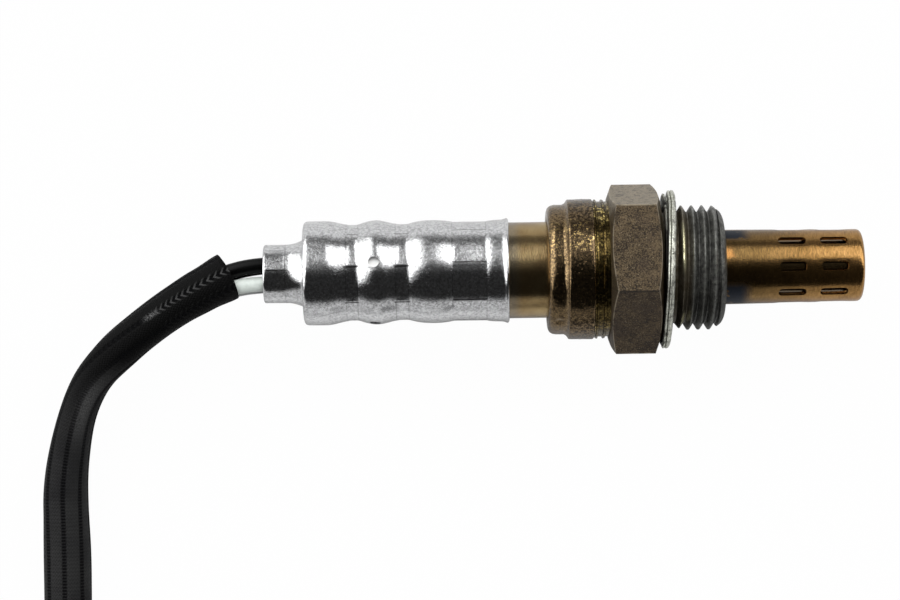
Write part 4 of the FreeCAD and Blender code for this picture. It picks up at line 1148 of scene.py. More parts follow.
@dataclass
class Housing:
    """Steel body: nose, thread, hexagon, groove, collar and rolled lip."""

    thread_r: float = 9.0
    root_r: float = 8.06
    pitch: float = 1.5
    thread_from: float = 2.0
    thread_to: float = 8.35
    hex_across: float = 22.0
    hex_turn_deg: float = 15.0
    hex_face_r: float = 10.3
    hex_rear: float = -7.7
    hex_front: float = -0.3
    chamfer_deg: float = 20.0
    past_corners: float = 0.4
    thread_shift: float = -0.2
    thread_turns: int = 7
    thread_core_r: float = 8.0
    lead_in: float = 1.25
    nose_from: float = 7.45
    nose_taper: float = 0.75
    flank_step: float = 0.16
    groove_to: float = -9.9
    lip_from: float = -13.5
    dent_at: tuple[float, float, float] = (-15.0, -7.45, 5.6)
    dent_depth: float = 0.28
    dent_reach: float = 0.42
    worn_from_r: float = 8.0
    rough_depth: float = 0.035
    chewed_depth: float = 0.055
    chewed_zone: Point = (-10.0, -8.1)
    chewed_elsewhere: float = 0.35

    def blank_radius(self, x: float) -> float:
        """Return the radius of the blank that the thread is cut from, which tapers at both ends.

        Args:
            x: The place along the axis, in millimetres.

        Returns:
            The radius in millimetres.
        """
        lead_in = self.thread_core_r + max(0.0, x - self.thread_from) * self.lead_in
        nose = self.thread_r - max(0.0, x - self.nose_from) * self.nose_taper
        return min(self.thread_r, lead_in, nose)

    def thread(self) -> bpy.types.Object:
        """Cut the helical thread, right handed, from a tapered blank.

        Returns:
            The thread, dressed.
        """
        flat = self.pitch / 8
        flank = (self.pitch - 2 * flat) / 2
        shoulder, crest = self.thread_r - 0.12, self.thread_r - 0.02
        top = flat * 0.8 + flank
        marks = [(0.0, self.root_r), (flat * 0.5, self.root_r), (flat * 0.8, self.root_r + 0.03)]
        marks += [(top - 0.08, shoulder), (top, crest), (top + flat * 0.8, crest), (top + flat * 0.8 + 0.08, shoulder)]
        marks += [(self.pitch - flat * 0.3, self.root_r + 0.03), (self.pitch, self.root_r)]
        strip = []
        for before, after in zip(marks, marks[1:]):
            strip += [before] + spaced(before, after, self.flank_step)[:-1]
        strip.append(marks[-1])
        first = self.thread_from - 2 * self.pitch
        obj = drawn((first * MM, 0, strip[0][1] * MM), [
            ((after[0] - before[0]) * MM, 0, (after[1] - before[1]) * MM) for before, after in zip(strip, strip[1:])])
        bpy.ops.object.mode_set(mode="OBJECT")
        screw = obj.modifiers.new("thread", "SCREW")
        screw.axis = "X"
        screw.angle = -2 * math.pi
        screw.screw_offset = self.pitch * MM
        screw.iterations = self.thread_turns
        screw.steps = screw.render_steps = SIDES
        screw.use_merge_vertices = True
        screw.merge_threshold = 1e-7
        only(obj)
        bpy.ops.object.modifier_apply(modifier=screw.name)

        def cut_back(point: Vector) -> Vector:
            """Bring a point of the endless thread within its ends and its blank.

            Args:
                point: The point, in millimetres.

            Returns:
                The point moved.
            """
            x = min(max(point.x, self.thread_from), self.thread_to)
            radius, _ = polar(point)
            return at_radius(Vector((x + self.thread_shift, point.y, point.z)), min(radius, self.blank_radius(x)))

        shape_points(obj, cut_back)
        bpy.ops.object.mode_set(mode="EDIT")
        bpy.ops.mesh.select_all(action="SELECT")
        bpy.ops.mesh.remove_doubles(threshold=2e-6)
        bpy.ops.mesh.dissolve_degenerate(threshold=1e-6)
        bpy.ops.mesh.select_all(action="SELECT")
        bpy.ops.mesh.normals_make_consistent(inside=False)
        bpy.ops.object.mode_set(mode="OBJECT")
        smooth(obj, 24)
        dress(obj, Looks.THREAD)
        return obj

    def nose(self) -> bpy.types.Object:
        """Turn the core under the thread, with the chamfered nose and its bore.

        Returns:
            The nose, dressed.
        """
        profile = [(-0.5, 5.4), (-0.5, 8.0), (2.0, 8.0)]
        profile += [(2.0, 7.9), (7.95, 7.9), (7.95, 8.42)]
        profile += ease((7.95, 8.42), (8.45, 8.05), 4, -0.1, -1.0)
        profile += ease((8.45, 8.05), (8.78, 7.42), 4, -1.3, -2.6)
        profile += ease((8.78, 7.42), (8.92, 6.5), 4, -3.0, -9.0)
        profile += [(8.92, 5.9)] + rounding((8.92, 5.75), (8.92, 5.4), (8.7, 5.4), 4) + [(-0.5, 5.4)]
        obj = turned("nose", profile)
        smooth(obj, 30)
        dress(obj, Looks.THREAD)
        return obj

    def hexagon(self) -> bpy.types.Object:
        """Cut the hexagon and chamfer both of its ends, as if turned from bar.

        Returns:
            The hexagon, dressed.
        """
        corner_r = self.hex_across / 2 / math.cos(math.radians(30))
        deselect()
        length, middle = self.hex_front - self.hex_rear, (self.hex_front + self.hex_rear) / 2
        bpy.ops.mesh.primitive_cylinder_add(vertices=6, radius=corner_r * MM, depth=length * MM,
                                            rotation=(0, math.radians(90), 0))
        obj = bpy.context.active_object
        bpy.ops.object.transform_apply(rotation=True)
        corners = [math.atan2(v.co.z, v.co.y) for v in obj.data.vertices]
        turn = math.radians(self.hex_turn_deg + 30) - corners[0]
        obj.matrix_world = Matrix.Translation((middle * MM, 0, 0)) @ Matrix.Rotation(turn, 4, "X")
        only(obj)
        bpy.ops.object.transform_apply(location=True, rotation=True)
        outside = corner_r + self.past_corners
        bevel = (outside - self.hex_face_r) * math.tan(math.radians(self.chamfer_deg))
        front, rear = self.hex_front, self.hex_rear
        profile = [(front + 0.02, 0), (front + 0.02, self.hex_face_r - 0.1), (front, self.hex_face_r),
                   (front - bevel, outside), (rear + bevel, outside),
                   (rear, self.hex_face_r), (rear - 0.02, self.hex_face_r - 0.1), (rear - 0.02, 0)]
        combine(obj, turned("chamfers", profile), "INTERSECT")
        soften(obj, 0.07, 2, 18)
        smooth(obj, 22)
        dress(obj, Looks.HEXAGON)
        return obj

    def collar(self) -> bpy.types.Object:
        """Turn the groove, the collar and the lip rolled over the inner sleeve.

        Returns:
            The collar, with a finish for each zone.
        """
        profile = [(-7.6, 7.2), (-7.6, 9.72), (-8.25, 9.72), (-8.35, 9.98), (-8.62, 10.02), (-8.74, 9.74)]
        profile += [(-9.3, 9.72), (-9.4, 10.0), (-9.62, 10.04), (-9.74, 9.84), (-9.88, 9.86)]
        profile += rounding((-9.92, 9.94), (-9.95, 10.12), (-10.2, 10.12), 4)
        profile += spaced((-10.2, 10.12), (-13.35, 10.08), 0.4)
        profile += rounding((-13.4, 10.07), (-13.56, 10.06), (-13.6, 9.92), 3)[1:]
        profile += ease((-13.6, 9.92), (-14.4, 9.36), 6, 1.7, 0.0)
        profile += spaced((-14.4, 9.36), (-15.3, 9.34), 0.3)
        profile += rounding((-15.3, 9.34), (-16.42, 9.3), (-16.5, 8.3), 9)[1:]
        profile += rounding((-16.5, 8.2), (-16.5, 7.35), (-16.05, 7.3), 4)
        profile += [(-16.0, 6.98), (-12.9, 6.98), (-12.9, 7.2), (-7.6, 7.2)]
        obj = turned("collar", profile)

        def worn(point: Vector) -> Vector:
            """Roughen a point, more in the chewed groove, and press the dent.

            Args:
                point: The point, in millimetres.

            Returns:
                The point moved.
            """
            radius, _ = polar(point)
            if radius < self.worn_from_r:
                return point
            rough = noise.fractal(point * 1.3, 0.9, 2.0, 4) * self.rough_depth
            chewed = noise.fractal(point * 2.4 + Vector((5, 1, 3)), 0.8, 2.1, 3) * self.chewed_depth
            zone = 1.0 if self.chewed_zone[0] < point.x < self.chewed_zone[1] else self.chewed_elsewhere
            dent = self.dent_depth * bell((point - Vector(self.dent_at)).length, self.dent_reach)
            return at_radius(point, radius + rough + chewed * zone - dent)

        shape_points(obj, worn)
        smooth(obj, 34)
        for look in (Looks.COLLAR, Looks.GROOVE, Looks.LIP):
            obj.data.materials.append(look.value.material())
        for face in obj.data.polygons:
            x = face.center.x / MM
            face.material_index = 1 if x > self.groove_to else (2 if x < self.lip_from else 0)
        return obj

    def build(self) -> None:
        """Build the housing as one piece with a finish for each zone."""
        parts = [self.hexagon(), self.nose(), self.thread(), self.collar()]
        obj = joined("steel_housing", parts)
        seat(obj, "housing_steel", "housing")


@dataclass
class Gasket:
    """Crush gasket: one strip folded into layers, a little out of true."""

    tilt_y: float = 0.047
    tilt_z: float = -0.027
    drop: float = 0.2
    sides: int = 240
    first_fold_x: float = 0.41
    free_from_r: float = 9.2
    rim_from_r: float = 10.3
    waves: Point = (0.10, 0.06)
    crinkles: Point = (0.05, 0.03)
    dents: tuple[tuple[float, float, float], ...] = (
        (-63.0, 0.5, 2.2), (-66.5, 0.3, 1.6), (118.0, 0.4, 2.6), (35.0, 0.2, 2.0))

    def build(self) -> None:
        """Build the folded strip with its dents."""
        profile = rounding((0.05, 9.3), (0.0, 9.3), (0.0, 9.5), 3)
        profile += rounding((0.0, 10.6), (0.03, 11.02), (0.3, 10.92), 4)
        profile += ease((0.3, 10.92), (0.36, 10.3), 3) + [(0.4, 10.32)]
        profile += ease((0.4, 10.32), (0.46, 11.0), 4, 0.0, 3.0)
        profile += rounding((0.46, 11.05), (0.46, 11.38), (0.68, 11.4), 5)
        profile += [(0.78, 11.26), (0.82, 10.95), (0.85, 10.96)]
        profile += rounding((0.86, 11.2), (0.9, 11.46), (1.14, 11.42), 5)
        profile += rounding((1.24, 11.36), (1.5, 11.2), (1.56, 10.7), 6)
        profile += [(1.6, 10.2), (1.6, 9.7)] + rounding((1.6, 9.35), (1.6, 9.14), (1.4, 9.1), 6)
        profile += [(1.2, 9.12), (0.8, 9.3), (0.5, 9.12), (0.2, 9.12), (0.05, 9.3)]
        obj = turned("crush_gasket", profile, 0.0, self.sides)

        def crushed(point: Vector) -> Vector:
            """Wrinkle and dent a point of the folds, and set it out of true.

            Args:
                point: The point, in millimetres.

            Returns:
                The point moved.
            """
            radius, angle = polar(point)
            wave = noise.fractal(point * 0.35 + Vector((3, 7, 1)), 0.9, 2.0, 3)
            small = noise.fractal(point * 1.7, 0.9, 2.0, 3)
            out = max(0.0, (radius - self.free_from_r) / 2)
            moved = radius + (wave * self.waves[0] + small * self.crinkles[0]) * out
            pushed = (wave * self.waves[1] + small * self.crinkles[1]) * min(1.0, out)
            x = point.x + pushed * (1 if point.x > 0.3 else 0)
            for middle, depth, width in self.dents:
                away = (angle - middle + 180) % 360 - 180
                if radius > self.rim_from_r and point.x > 0.5:
                    moved -= depth * bell(away, width) * (0.4 + 0.6 * (point.x < 1.3))
            set_at = at_radius(Vector((x, point.y, point.z)), moved)
            lean = self.tilt_y * set_at.y + self.tilt_z * set_at.z
            lean *= 0.85 + 0.15 * min(1.0, max(0.0, radius - 9.6))
            if point.x < self.first_fold_x and radius > 10.0:
                lean *= 0.5
            return Vector((set_at.x + lean, set_at.y - self.drop, set_at.z))

        shape_points(obj, crushed)
        smooth(obj, 30)
        dress(obj, Looks.GASKET)
        seat(obj, "gasket_steel", "gasket")


@dataclass
class TipTube:
    """Outer protection tube with two rings of gas slots."""

    tip_r: float = 5.2
    root_x: float = 8.4
    tip_x: float = 29.05
    slot_x: tuple[float, float] = (18.52, 24.5)
    slot_l: float = 3.95
    slot_w: float = 1.38
    slot_corner: float = 0.56
    rows: int = 8
    row_turn_deg: float = 1.5
    start_deg: float = 11.25
    slot_zone: Point = (10.0, 28.0)
    slot_r: float = 5.3
    cutter_r: float = 5.6
    cutter_depth: float = 2.4
    edge_dip: float = 0.035
    edge_reach: float = 0.25

    def slot_cutters(self) -> bpy.types.Object:
        """Make the cutters of all the slots.

        Returns:
            The cutters as one object.
        """
        deselect()
        bpy.ops.mesh.primitive_cube_add(size=1.0, location=(0, 0, self.cutter_r * MM),
                                        scale=(self.slot_l * MM, self.slot_w * MM, self.cutter_depth * MM))
        first = bpy.context.active_object
        bpy.ops.object.transform_apply(location=True, scale=True)
        bpy.ops.object.mode_set(mode="EDIT")
        bpy.ops.mesh.select_all(action="DESELECT")
        bpy.ops.object.mode_set(mode="OBJECT")
        for edge in first.data.edges:
            ends = [first.data.vertices[i].co for i in edge.vertices]
            edge.select = abs(ends[0].z - ends[1].z) > MM
        bpy.ops.object.mode_set(mode="EDIT")
        bpy.ops.mesh.bevel(offset=self.slot_corner * MM, segments=6, affect="EDGES")
        bpy.ops.object.mode_set(mode="OBJECT")
        copies = []
        for x in self.slot_x:
            for row in range(self.rows):
                copy = first.copy()
                copy.data = first.data.copy()
                bpy.context.scene.collection.objects.link(copy)
                turn = Matrix.Rotation(2 * math.pi * row / self.rows + math.radians(self.row_turn_deg), 4, "X")
                copy.data.transform(turn @ Matrix.Translation((x * MM, 0, 0)))
                copies.append(copy)
        bpy.data.objects.remove(first)
        return joined("slot_cutters", copies)

    def build(self) -> None:
        """Build the tube, closed and dimpled at its tip."""
        outer = [(self.root_x, 5.4)] + spaced((self.root_x, 5.4), (9.4, 5.38), 0.4)
        tip = self.tip_x
        outer += spaced((9.4, 5.38), (tip - 1.1, self.tip_r), 0.75)
        outer += rounding((tip - 1.0, self.tip_r), (tip - 0.2, self.tip_r), (tip - 0.16, 4.1), 9)
        outer += spaced((tip - 0.16, 4.1), (tip, 1.2), 0.6)
        outer += rounding((tip, 1.15), (tip, 1.0), (tip - 0.15, 1.0), 3)
        inner = [(tip - 0.5, 1.0), (tip - 0.66, 4.0)]
        inner += rounding((tip - 0.68, 4.1), (tip - 0.7, 4.7), (tip - 1.3, 4.7), 5)
        inner += spaced((tip - 1.3, 4.7), (self.root_x, 4.85), 1.5) + [(self.root_x, 5.4)]
        obj = turned("tip_tube", outer + inner, self.start_deg)

        def punched(point: Vector) -> Vector:
            """Roll a point in where it lies near the edge of a slot.

            Args:
                point: The point, in millimetres.

            Returns:
                The point moved.
            """
            radius, angle = polar(point)
            if not self.slot_zone[0] <= point.x <= self.slot_zone[1]:
                return point
            step = 360 / self.rows
            across = math.radians((angle - self.row_turn_deg + step / 2) % step - step / 2) * self.slot_r
            dip = 0.0
            for middle in self.slot_x:
                along = max(0.0, abs(point.x - middle) - self.slot_l / 2 + self.slot_corner)
                beside = max(0.0, abs(across) - self.slot_w / 2 + self.slot_corner)
                away = math.hypot(along, beside) - self.slot_corner
                dip = max(dip, self.edge_dip * bell(max(0.0, away), self.edge_reach))
            return at_radius(point, radius - dip)

        shape_points(obj, punched)
        combine(obj, self.slot_cutters(), "DIFFERENCE")
        smooth(obj, 32)
        dress(obj, Looks.TUBE)
        seat(obj, "tube_steel", "outer_protection_tube")


@dataclass
class InnerSleeve:
    """Heat tinted sleeve between the housing's lip and the rear shell."""

    radius: float = 6.925
    tail_r: float = 6.6
    flange_r: float = 7.45
    wall: float = 0.5

    def build(self) -> None:
        """Build the sleeve with the flange under the lip."""
        r, tail = self.radius, self.tail_r
        bore, tail_bore = r - self.wall, tail - self.wall
        outer = [(-31.0, tail)] + spaced((-31.0, tail), (-24.5, tail), 1.5)
        outer += ease((-24.5, tail), (-22.1, r), 8)
        outer += spaced((-22.1, r), (-13.1, r), 0.75)
        outer += [(-13.1, self.flange_r), (-12.6, self.flange_r)]
        inner = [(-12.6, bore)] + spaced((-12.6, bore), (-22.1, bore), 2.0)
        inner += ease((-22.1, bore), (-24.5, tail_bore), 6) + [(-31.0, tail_bore), (-31.0, tail)]
        obj = turned("tinted_sleeve", outer + inner)
        smooth(obj)
        dress(obj, Looks.GOLD)
        seat(obj, "tinted_steel", "inner_sleeve")


@dataclass
class RearShell:
    """Stainless shell: flared mouth, crimped seat, two crimped waists, shoulder and cuff."""

    wall: float = 0.5
    bulge_r: float = 7.5
    waist_r: float = 6.93
    seat_r: float = 7.16
    front_bulge_r: float = 7.43
    jaws: int = 8
    jaw_start_deg: float = -8.0
    jaw_depth: float = 0.06
    jaw_ridge_deg: float = 0.75
    jaw_edge: float = 0.12
    light_crimp: float = 0.55
    handling: float = 0.035
    vent_x: float = -41.3
    vent_r: float = 0.78
    vents: int = 4
    vent_start_deg: float = -11.3
    vent_dip: float = 0.05
    vent_dip_reach: float = 0.28
    vent_zone: Point = (-43.5, -39.0)
    vent_from_r: float = 6.9
    crimps: tuple[Point, ...] = ((-45.3, -43.65), (-38.2, -36.4), (-30.12, -25.2), (-56.9, -54.1))
    cuff_bore_r: float = 3.78

    def outer(self) -> list[Point]:
        """Draw the outer profile, from the cuff's rear edge to the flared mouth.

        Returns:
            Its points as x and radius.
        """
        line = rounding((-57.3, 3.86), (-57.3, 4.2), (-57.0, 4.22), 4)
        line += spaced((-57.0, 4.22), (-53.75, 4.22), 0.3)
        line += ease((-53.75, 4.22), (-51.9, 4.72), 8, 0.05, 0.42)
        line += rounding((-51.85, 4.75), (-51.5, 4.9), (-51.5, 5.2), 4)
        line += spaced((-51.5, 5.2), (-51.52, 6.8), 0.3)
        line += rounding((-51.52, 6.85), (-51.5, 7.47), (-50.8, 7.5), 12)[1:]
        line += spaced((-50.8, 7.5), (-48.3, 7.52), 0.4)
        line += ease((-48.3, 7.52), (-45.3, 6.99), 14, 0.0, -0.13)
        line += ease((-45.3, 6.99), (-44.6, self.waist_r), 3, -0.13, 0.0)
        line += spaced((-44.6, self.waist_r), (-43.65, self.waist_r), 0.3)
        line += ease((-43.65, self.waist_r), (-41.0, 7.52), 14, 0.36, 0.0)
        line += ease((-41.0, 7.52), (-38.2, 6.98), 14, 0.0, -0.13)
        line += ease((-38.2, 6.98), (-37.4, self.waist_r), 3, -0.13, 0.0)
        line += spaced((-37.4, self.waist_r), (-36.4, self.waist_r), 0.3)
        line += ease((-36.4, self.waist_r), (-33.0, self.front_bulge_r), 14, 0.34, 0.0)
        line += ease((-33.0, self.front_bulge_r), (-30.12, 7.18), 12, 0.0, -0.2)
        line += [(-30.02, self.seat_r)]
        line += spaced((-30.02, self.seat_r), (-25.25, self.seat_r), 0.35)
        line += ease((-25.25, self.seat_r), (-23.7, 7.34), 7, 0.26, 0.04)
        line += ease((-23.7, 7.34), (-22.75, 7.4), 4, 0.04, 0.14)
        line += ease((-22.75, 7.4), (-22.35, 7.56), 4, 0.3, 0.42)
        line += rounding((-22.3, 7.57), (-22.1, 7.58), (-22.0, 7.3), 6)
        return line

    def inner(self) -> list[Point]:
        """Draw the inner profile, from the mouth back to the cuff's bore.

        Returns:
            Its points as x and radius.
        """
        line = [(-22.02, 7.12), (-22.3, 7.06), (-23.7, 6.84), (-25.25, self.seat_r - self.wall)]
        line += [(-30.02, self.seat_r - self.wall), (-33.0, 6.93), (-36.4, 6.43), (-38.2, 6.43)]
        line += [(-41.0, 7.02), (-43.65, 6.43), (-45.3, 6.45), (-48.3, 7.02), (-50.2, 7.0)]
        line += rounding((-50.2, 7.0), (-50.98, 6.98), (-51.0, 6.2), 5)
        line += [(-51.0, 3.75), (-57.2, 3.72), (-57.3, 3.86)]
        return line

    def pressed(self, point: Vector) -> Vector:
        """Move a surface point as the jaws, the vents' punches and handling have.

        Args:
            point: The point, in millimetres.

        Returns:
            The point moved.
        """
        radius, angle = polar(point)
        if radius < self.cuff_bore_r:
            return point
        sector = 360 / self.jaws
        share = ((angle - self.jaw_start_deg) % sector) / sector
        hollow = 4 * share * (1 - share)
        ridge = bell(min(share, 1 - share) * sector, self.jaw_ridge_deg)
        moved = radius
        for index, (rear, front) in enumerate(self.crimps):
            if rear - 0.02 <= point.x <= front + 0.02:
                edge = min(1.0, (point.x - rear) / self.jaw_edge, (front - point.x) / self.jaw_edge)
                depth = self.jaw_depth * (1.0 if index < 2 else self.light_crimp)
                moved -= max(0.0, edge) * depth * (hollow - 0.5 * ridge)
        for k in range(self.vents):
            away_deg = (angle - self.vent_start_deg - 360 / self.vents * k + 180) % 360 - 180
            away = math.hypot(point.x - self.vent_x, math.radians(away_deg) * self.bulge_r)
            if self.vent_zone[0] < point.x < self.vent_zone[1] and radius > self.vent_from_r:
                moved -= self.vent_dip * bell(max(0.0, away - self.vent_r), self.vent_dip_reach)
        moved += noise.noise(point * 0.23 + Vector((9, 2, 4))) * self.handling
        return at_radius(point, moved)

    def build(self) -> None:
        """Build the shell, press it, and drill its vents."""
        obj = turned("rear_shell_drawn", self.outer() + self.inner(), self.jaw_start_deg)
        shape_points(obj, self.pressed)
        drills = []
        for k in range(self.vents):
            deselect()
            bpy.ops.mesh.primitive_cylinder_add(vertices=40, radius=self.vent_r * MM, depth=3 * MM,
                                                location=(self.vent_x * MM, 0, 7.4 * MM))
            drill = bpy.context.active_object
            bpy.ops.object.transform_apply(location=True)
            drill.data.transform(Matrix.Rotation(math.radians(self.vent_start_deg + 360 / self.vents * k), 4, "X"))
            drills.append(drill)
        combine(obj, joined("drills", drills), "DIFFERENCE")
        smooth(obj, 26)
        dress(obj, Looks.SHELL)
        seat(obj, "shell_steel", "rear_shell")


# ---------------------------------------------------------------- the harness


@dataclass
class Harness:
    """Knitted sleeve over four leads, coiled and tied, with the leads at both of its ends."""

    floor_z: float = -12.268
    cord_r: float = 3.4
    coil_centre: Point = (-50.0, -93.0)
    coil_r: float = 37.5
    coil_steps: int = 16
    coil_points: int = 20
    coil_stack: float = 6.9
    coil_rise: tuple[float, ...] = (0.12, 0.48, 0.9)
    connector_y: float = -130.5
    connector_z: float = -4.468
    wire_r: float = 1.08
    wire_offset: float = 1.38
    sleeve_sides: int = 64
    wall: float = 0.36
    mouth_slant: float = 1.35
    slant_reach: float = 4.0
    turned_in: int = 10
    widths: tuple[Point, ...] = ((0, 3.52), (4, 3.2), (9, 3.04), (18, 2.94), (31, 2.58),
                                 (46, 3.24), (56, 3.45), (80, 3.42), (110, 3.34))
    tie_deg: float = 225.0
    tie_reach: float = 2.6
    tie_depth: float = 0.72
    line_step: float = 0.7
    line_parts: int = 24
    half_height: float = 3.3
    mouth_gape: float = 0.12
    squareness: float = 2.35
    groove: Point = (0.06, 0.16)
    skin_inset: float = 0.07
    fold_depth: float = 0.10
    most_past_cord: float = 0.12
    entry: tuple[tuple[float, float, float], ...] = (
        (0.7, 0.6, 1.2), (4.0, 0.58, 1.28), (8.0, 0.3, 1.3), (11.0, 0.0, 1.3))
    entry_rise: float = 1.14
    entry_turn: float = 0.18
    grommet_x: Point = (-36.0, -50.0)
    bow_x: float = -58.6
    rear_drop: float = 0.3
    end_inside: float = 8.0
    end_apart: float = 1.42
    ends: tuple[Point, ...] = ((-18.5, 1.42), (-15.5, 1.44), (-13.6, 1.52), (-10.3, 2.2), (-1.0, 2.2))

    def route(self) -> list[Vector]:
        """Lay out the sleeve: out of the shell, round its coil and up to the connector.

        Returns:
            The control points of its line, in millimetres.
        """
        cord_z = self.floor_z + self.cord_r + 0.02
        points = [
            Vector((-62.6, -0.25, 0.0)), Vector((-69.6, -3.6, -1.2)), Vector((-79.9, -11.2, -4.4)),
            Vector((-85.0, -17.3, -7.0)), Vector((-87.75, -29.0, -8.5)), Vector((-87.57, -39.0, cord_z)),
            Vector((-87.6, -57.0, cord_z)), Vector((-87.6, -79.0, cord_z)),
        ]
        step = 360 / self.coil_steps
        corner_r = self.coil_r / math.cos(math.radians(step / 2))
        for k in range(self.coil_points):
            turn = math.radians(180 + step * (k + 0.5))
            into_rise = k - (self.coil_steps - 1 - len(self.coil_rise))
            lift = 0.0 if into_rise < 0 else 1.0
            if 0 <= into_rise < len(self.coil_rise):
                lift = self.coil_rise[into_rise]
            x = self.coil_centre[0] + corner_r * math.cos(turn)
            y = self.coil_centre[1] + corner_r * math.sin(turn)
            points.append(Vector((x, y, cord_z + lift * self.coil_stack)))
        points += [
            Vector((-37.0, self.connector_y + 0.2, cord_z + self.coil_stack + 0.4)),
            Vector((-26.0, self.connector_y, self.connector_z)),
            Vector((-15.5, self.connector_y, self.connector_z)),
        ]
        return points

    def line(self, points: Sequence[Vector], step: float) -> list[Vector]:
        """Return evenly spaced points of the NURBS line through control points.

        Args:
            points: The control points, in millimetres.
            step: The spacing, in millimetres.

        Returns:
            The points along the line, in millimetres.
        """
        curve = bpy.data.curves.new("route", "CURVE")
        curve.dimensions = "3D"
        curve.resolution_u = self.line_parts
        spline = curve.splines.new("NURBS")
        spline.points.add(len(points) - 1)
        for control, point in zip(spline.points, points):
            control.co = (*(point * MM), 1.0)
        spline.order_u = 3
        spline.use_endpoint_u = True
        carrier = bpy.data.objects.new("route", curve)
        bpy.context.scene.collection.objects.link(carrier)
        mesh = bpy.data.meshes.new_from_object(carrier)
        raw = [vertex.co / MM for vertex in mesh.vertices]
        bpy.data.objects.remove(carrier)
        bpy.data.meshes.remove(mesh)
        lengths = self.lengths_of(raw)
        count = max(2, round(lengths[-1] / step))
        places, index = [], 0
        for k in range(count + 1):
            want = lengths[-1] * k / count
            while index < len(raw) - 2 and lengths[index + 1] < want:
                index += 1
            span = max(1e-9, lengths[index + 1] - lengths[index])
            places.append(raw[index].lerp(raw[index + 1], min(1.0, (want - lengths[index]) / span)))
        return places

    @staticmethod
    def lengths_of(line: Sequence[Vector]) -> list[float]:
        """Measure how far along a line each of its points is.

        Args:
            line: The points.

        Returns:
            The distances, from 0 at the first.
        """
        lengths = [0.0]
        for before, after in zip(line, line[1:]):
            lengths.append(lengths[-1] + (after - before).length)
        return lengths

    @staticmethod
    def frames(line: Sequence[Vector]) -> list[tuple[Vector, Vector, Vector]]:
        """Carry a set of directions along a line without twist.

        Args:
            line: The points.

        Returns:
            A heading, a side and an up direction at each point.
        """
        result = []
        up = Vector((0, 0, 1))
        for index in range(len(line)):
            before, after = line[max(0, index - 1)], line[min(len(line) - 1, index + 1)]
            heading = (after - before).normalized()
            side = up.cross(heading).normalized()
            up = heading.cross(side).normalized()
            result.append((heading, side, up))
        return result

    def half_width(self, along: float) -> float:
        """Read half of the sleeve's width off its table.

        Args:
            along: Distance from the mouth, in millimetres.

        Returns:
            The half width in millimetres.
        """
        marks = self.widths
        for (before, narrow), (after, wide) in zip(marks, marks[1:]):
            if along <= after:
                return narrow + (wide - narrow) * eased((along - before) / (after - before))
        return marks[-1][1]

    def skin_radius(self, along: float, turn: float, tie_at: Sequence[float]) -> float:
        """Return the sleeve's outer radius at a place along it and round it.

        Args:
            along: Distance from the mouth, in millimetres.
            turn: Angle round it, in radians.
            tie_at: Where the tie squeezes it.

        Returns:
            The radius in millimetres.
        """
        wide = self.half_width(along)
        tall = self.half_height + self.mouth_gape * math.exp(-along / 3.0)
        power = self.squareness
        part_w, part_t = abs(math.cos(turn)) / wide, abs(math.sin(turn)) / tall
        radius = (part_w ** power + part_t ** power) ** (-1 / power)
        knit = KnitSleeve
        twist = knit.twist * eased((along - knit.twist_from) / (knit.twist_to - knit.twist_from))
        lane = (turn / (2 * math.pi) - knit.seam - twist) * knit.ribs
        off = abs(lane - round(lane))
        depth, reach = self.groove
        radius += depth * (1 - bell(off, reach)) - self.skin_inset
        fold = noise.noise(Vector((along * 0.13, math.cos(turn) * 1.1, math.sin(turn) * 1.1)))
        radius += self.fold_depth * fold
        for place in tie_at:
            squeeze = math.exp(-((along - place) / self.tie_reach) ** 4)
            radius -= max(0.0, radius - (self.cord_r - self.tie_depth)) * squeeze
        return min(radius, self.cord_r + self.most_past_cord)

    def sleeve(self, line: Sequence[Vector]) -> bpy.types.Object:
        """Knit the sleeve as a tube that shows its wall at both ends, with its own map.

        Args:
            line: The points of its middle, in millimetres.

        Returns:
            The sleeve, dressed.
        """
        frames, lengths = self.frames(line), self.lengths_of(line)
        whole = lengths[-1]
        tie_turn = math.radians(self.tie_deg)
        tie = Vector((self.coil_centre[0] + self.coil_r * math.cos(tie_turn),
                      self.coil_centre[1] + self.coil_r * math.sin(tie_turn), 0))
        near_tie = [(math.hypot(place.x - tie.x, place.y - tie.y), along) for place, along in zip(line, lengths)]
        below = min((away, along) for away, along in near_tie if along < whole * 0.6)
        above = min((away, along) for away, along in near_tie if along >= whole * 0.6)
        tie_at = (below[1], above[1])
        mesh = bmesh.new()
        layer = mesh.loops.layers.uv.new("Sleeve")
        rings, marks = [], []

        def ring(index: int, inset: float, lengthways: float) -> None:
            """Add one ring of the skin.

            Args:
                index: Which point of the line it is at.
                inset: How far inside the outer skin it lies.
                lengthways: Its place on the map.
            """
            heading, side, up = frames[index]
            made = []
            for k in range(self.sleeve_sides):
                turn = 2 * math.pi * k / self.sleeve_sides
                radius = self.skin_radius(lengths[index], turn, tie_at) - inset
                place = line[index] + (side * math.cos(turn) + up * math.sin(turn)) * radius
                place -= heading * self.mouth_slant * math.sin(turn) * bell(lengths[index], self.slant_reach)
                made.append(mesh.verts.new(place * MM))
            rings.append(made)
            marks.append(lengthways * MM)

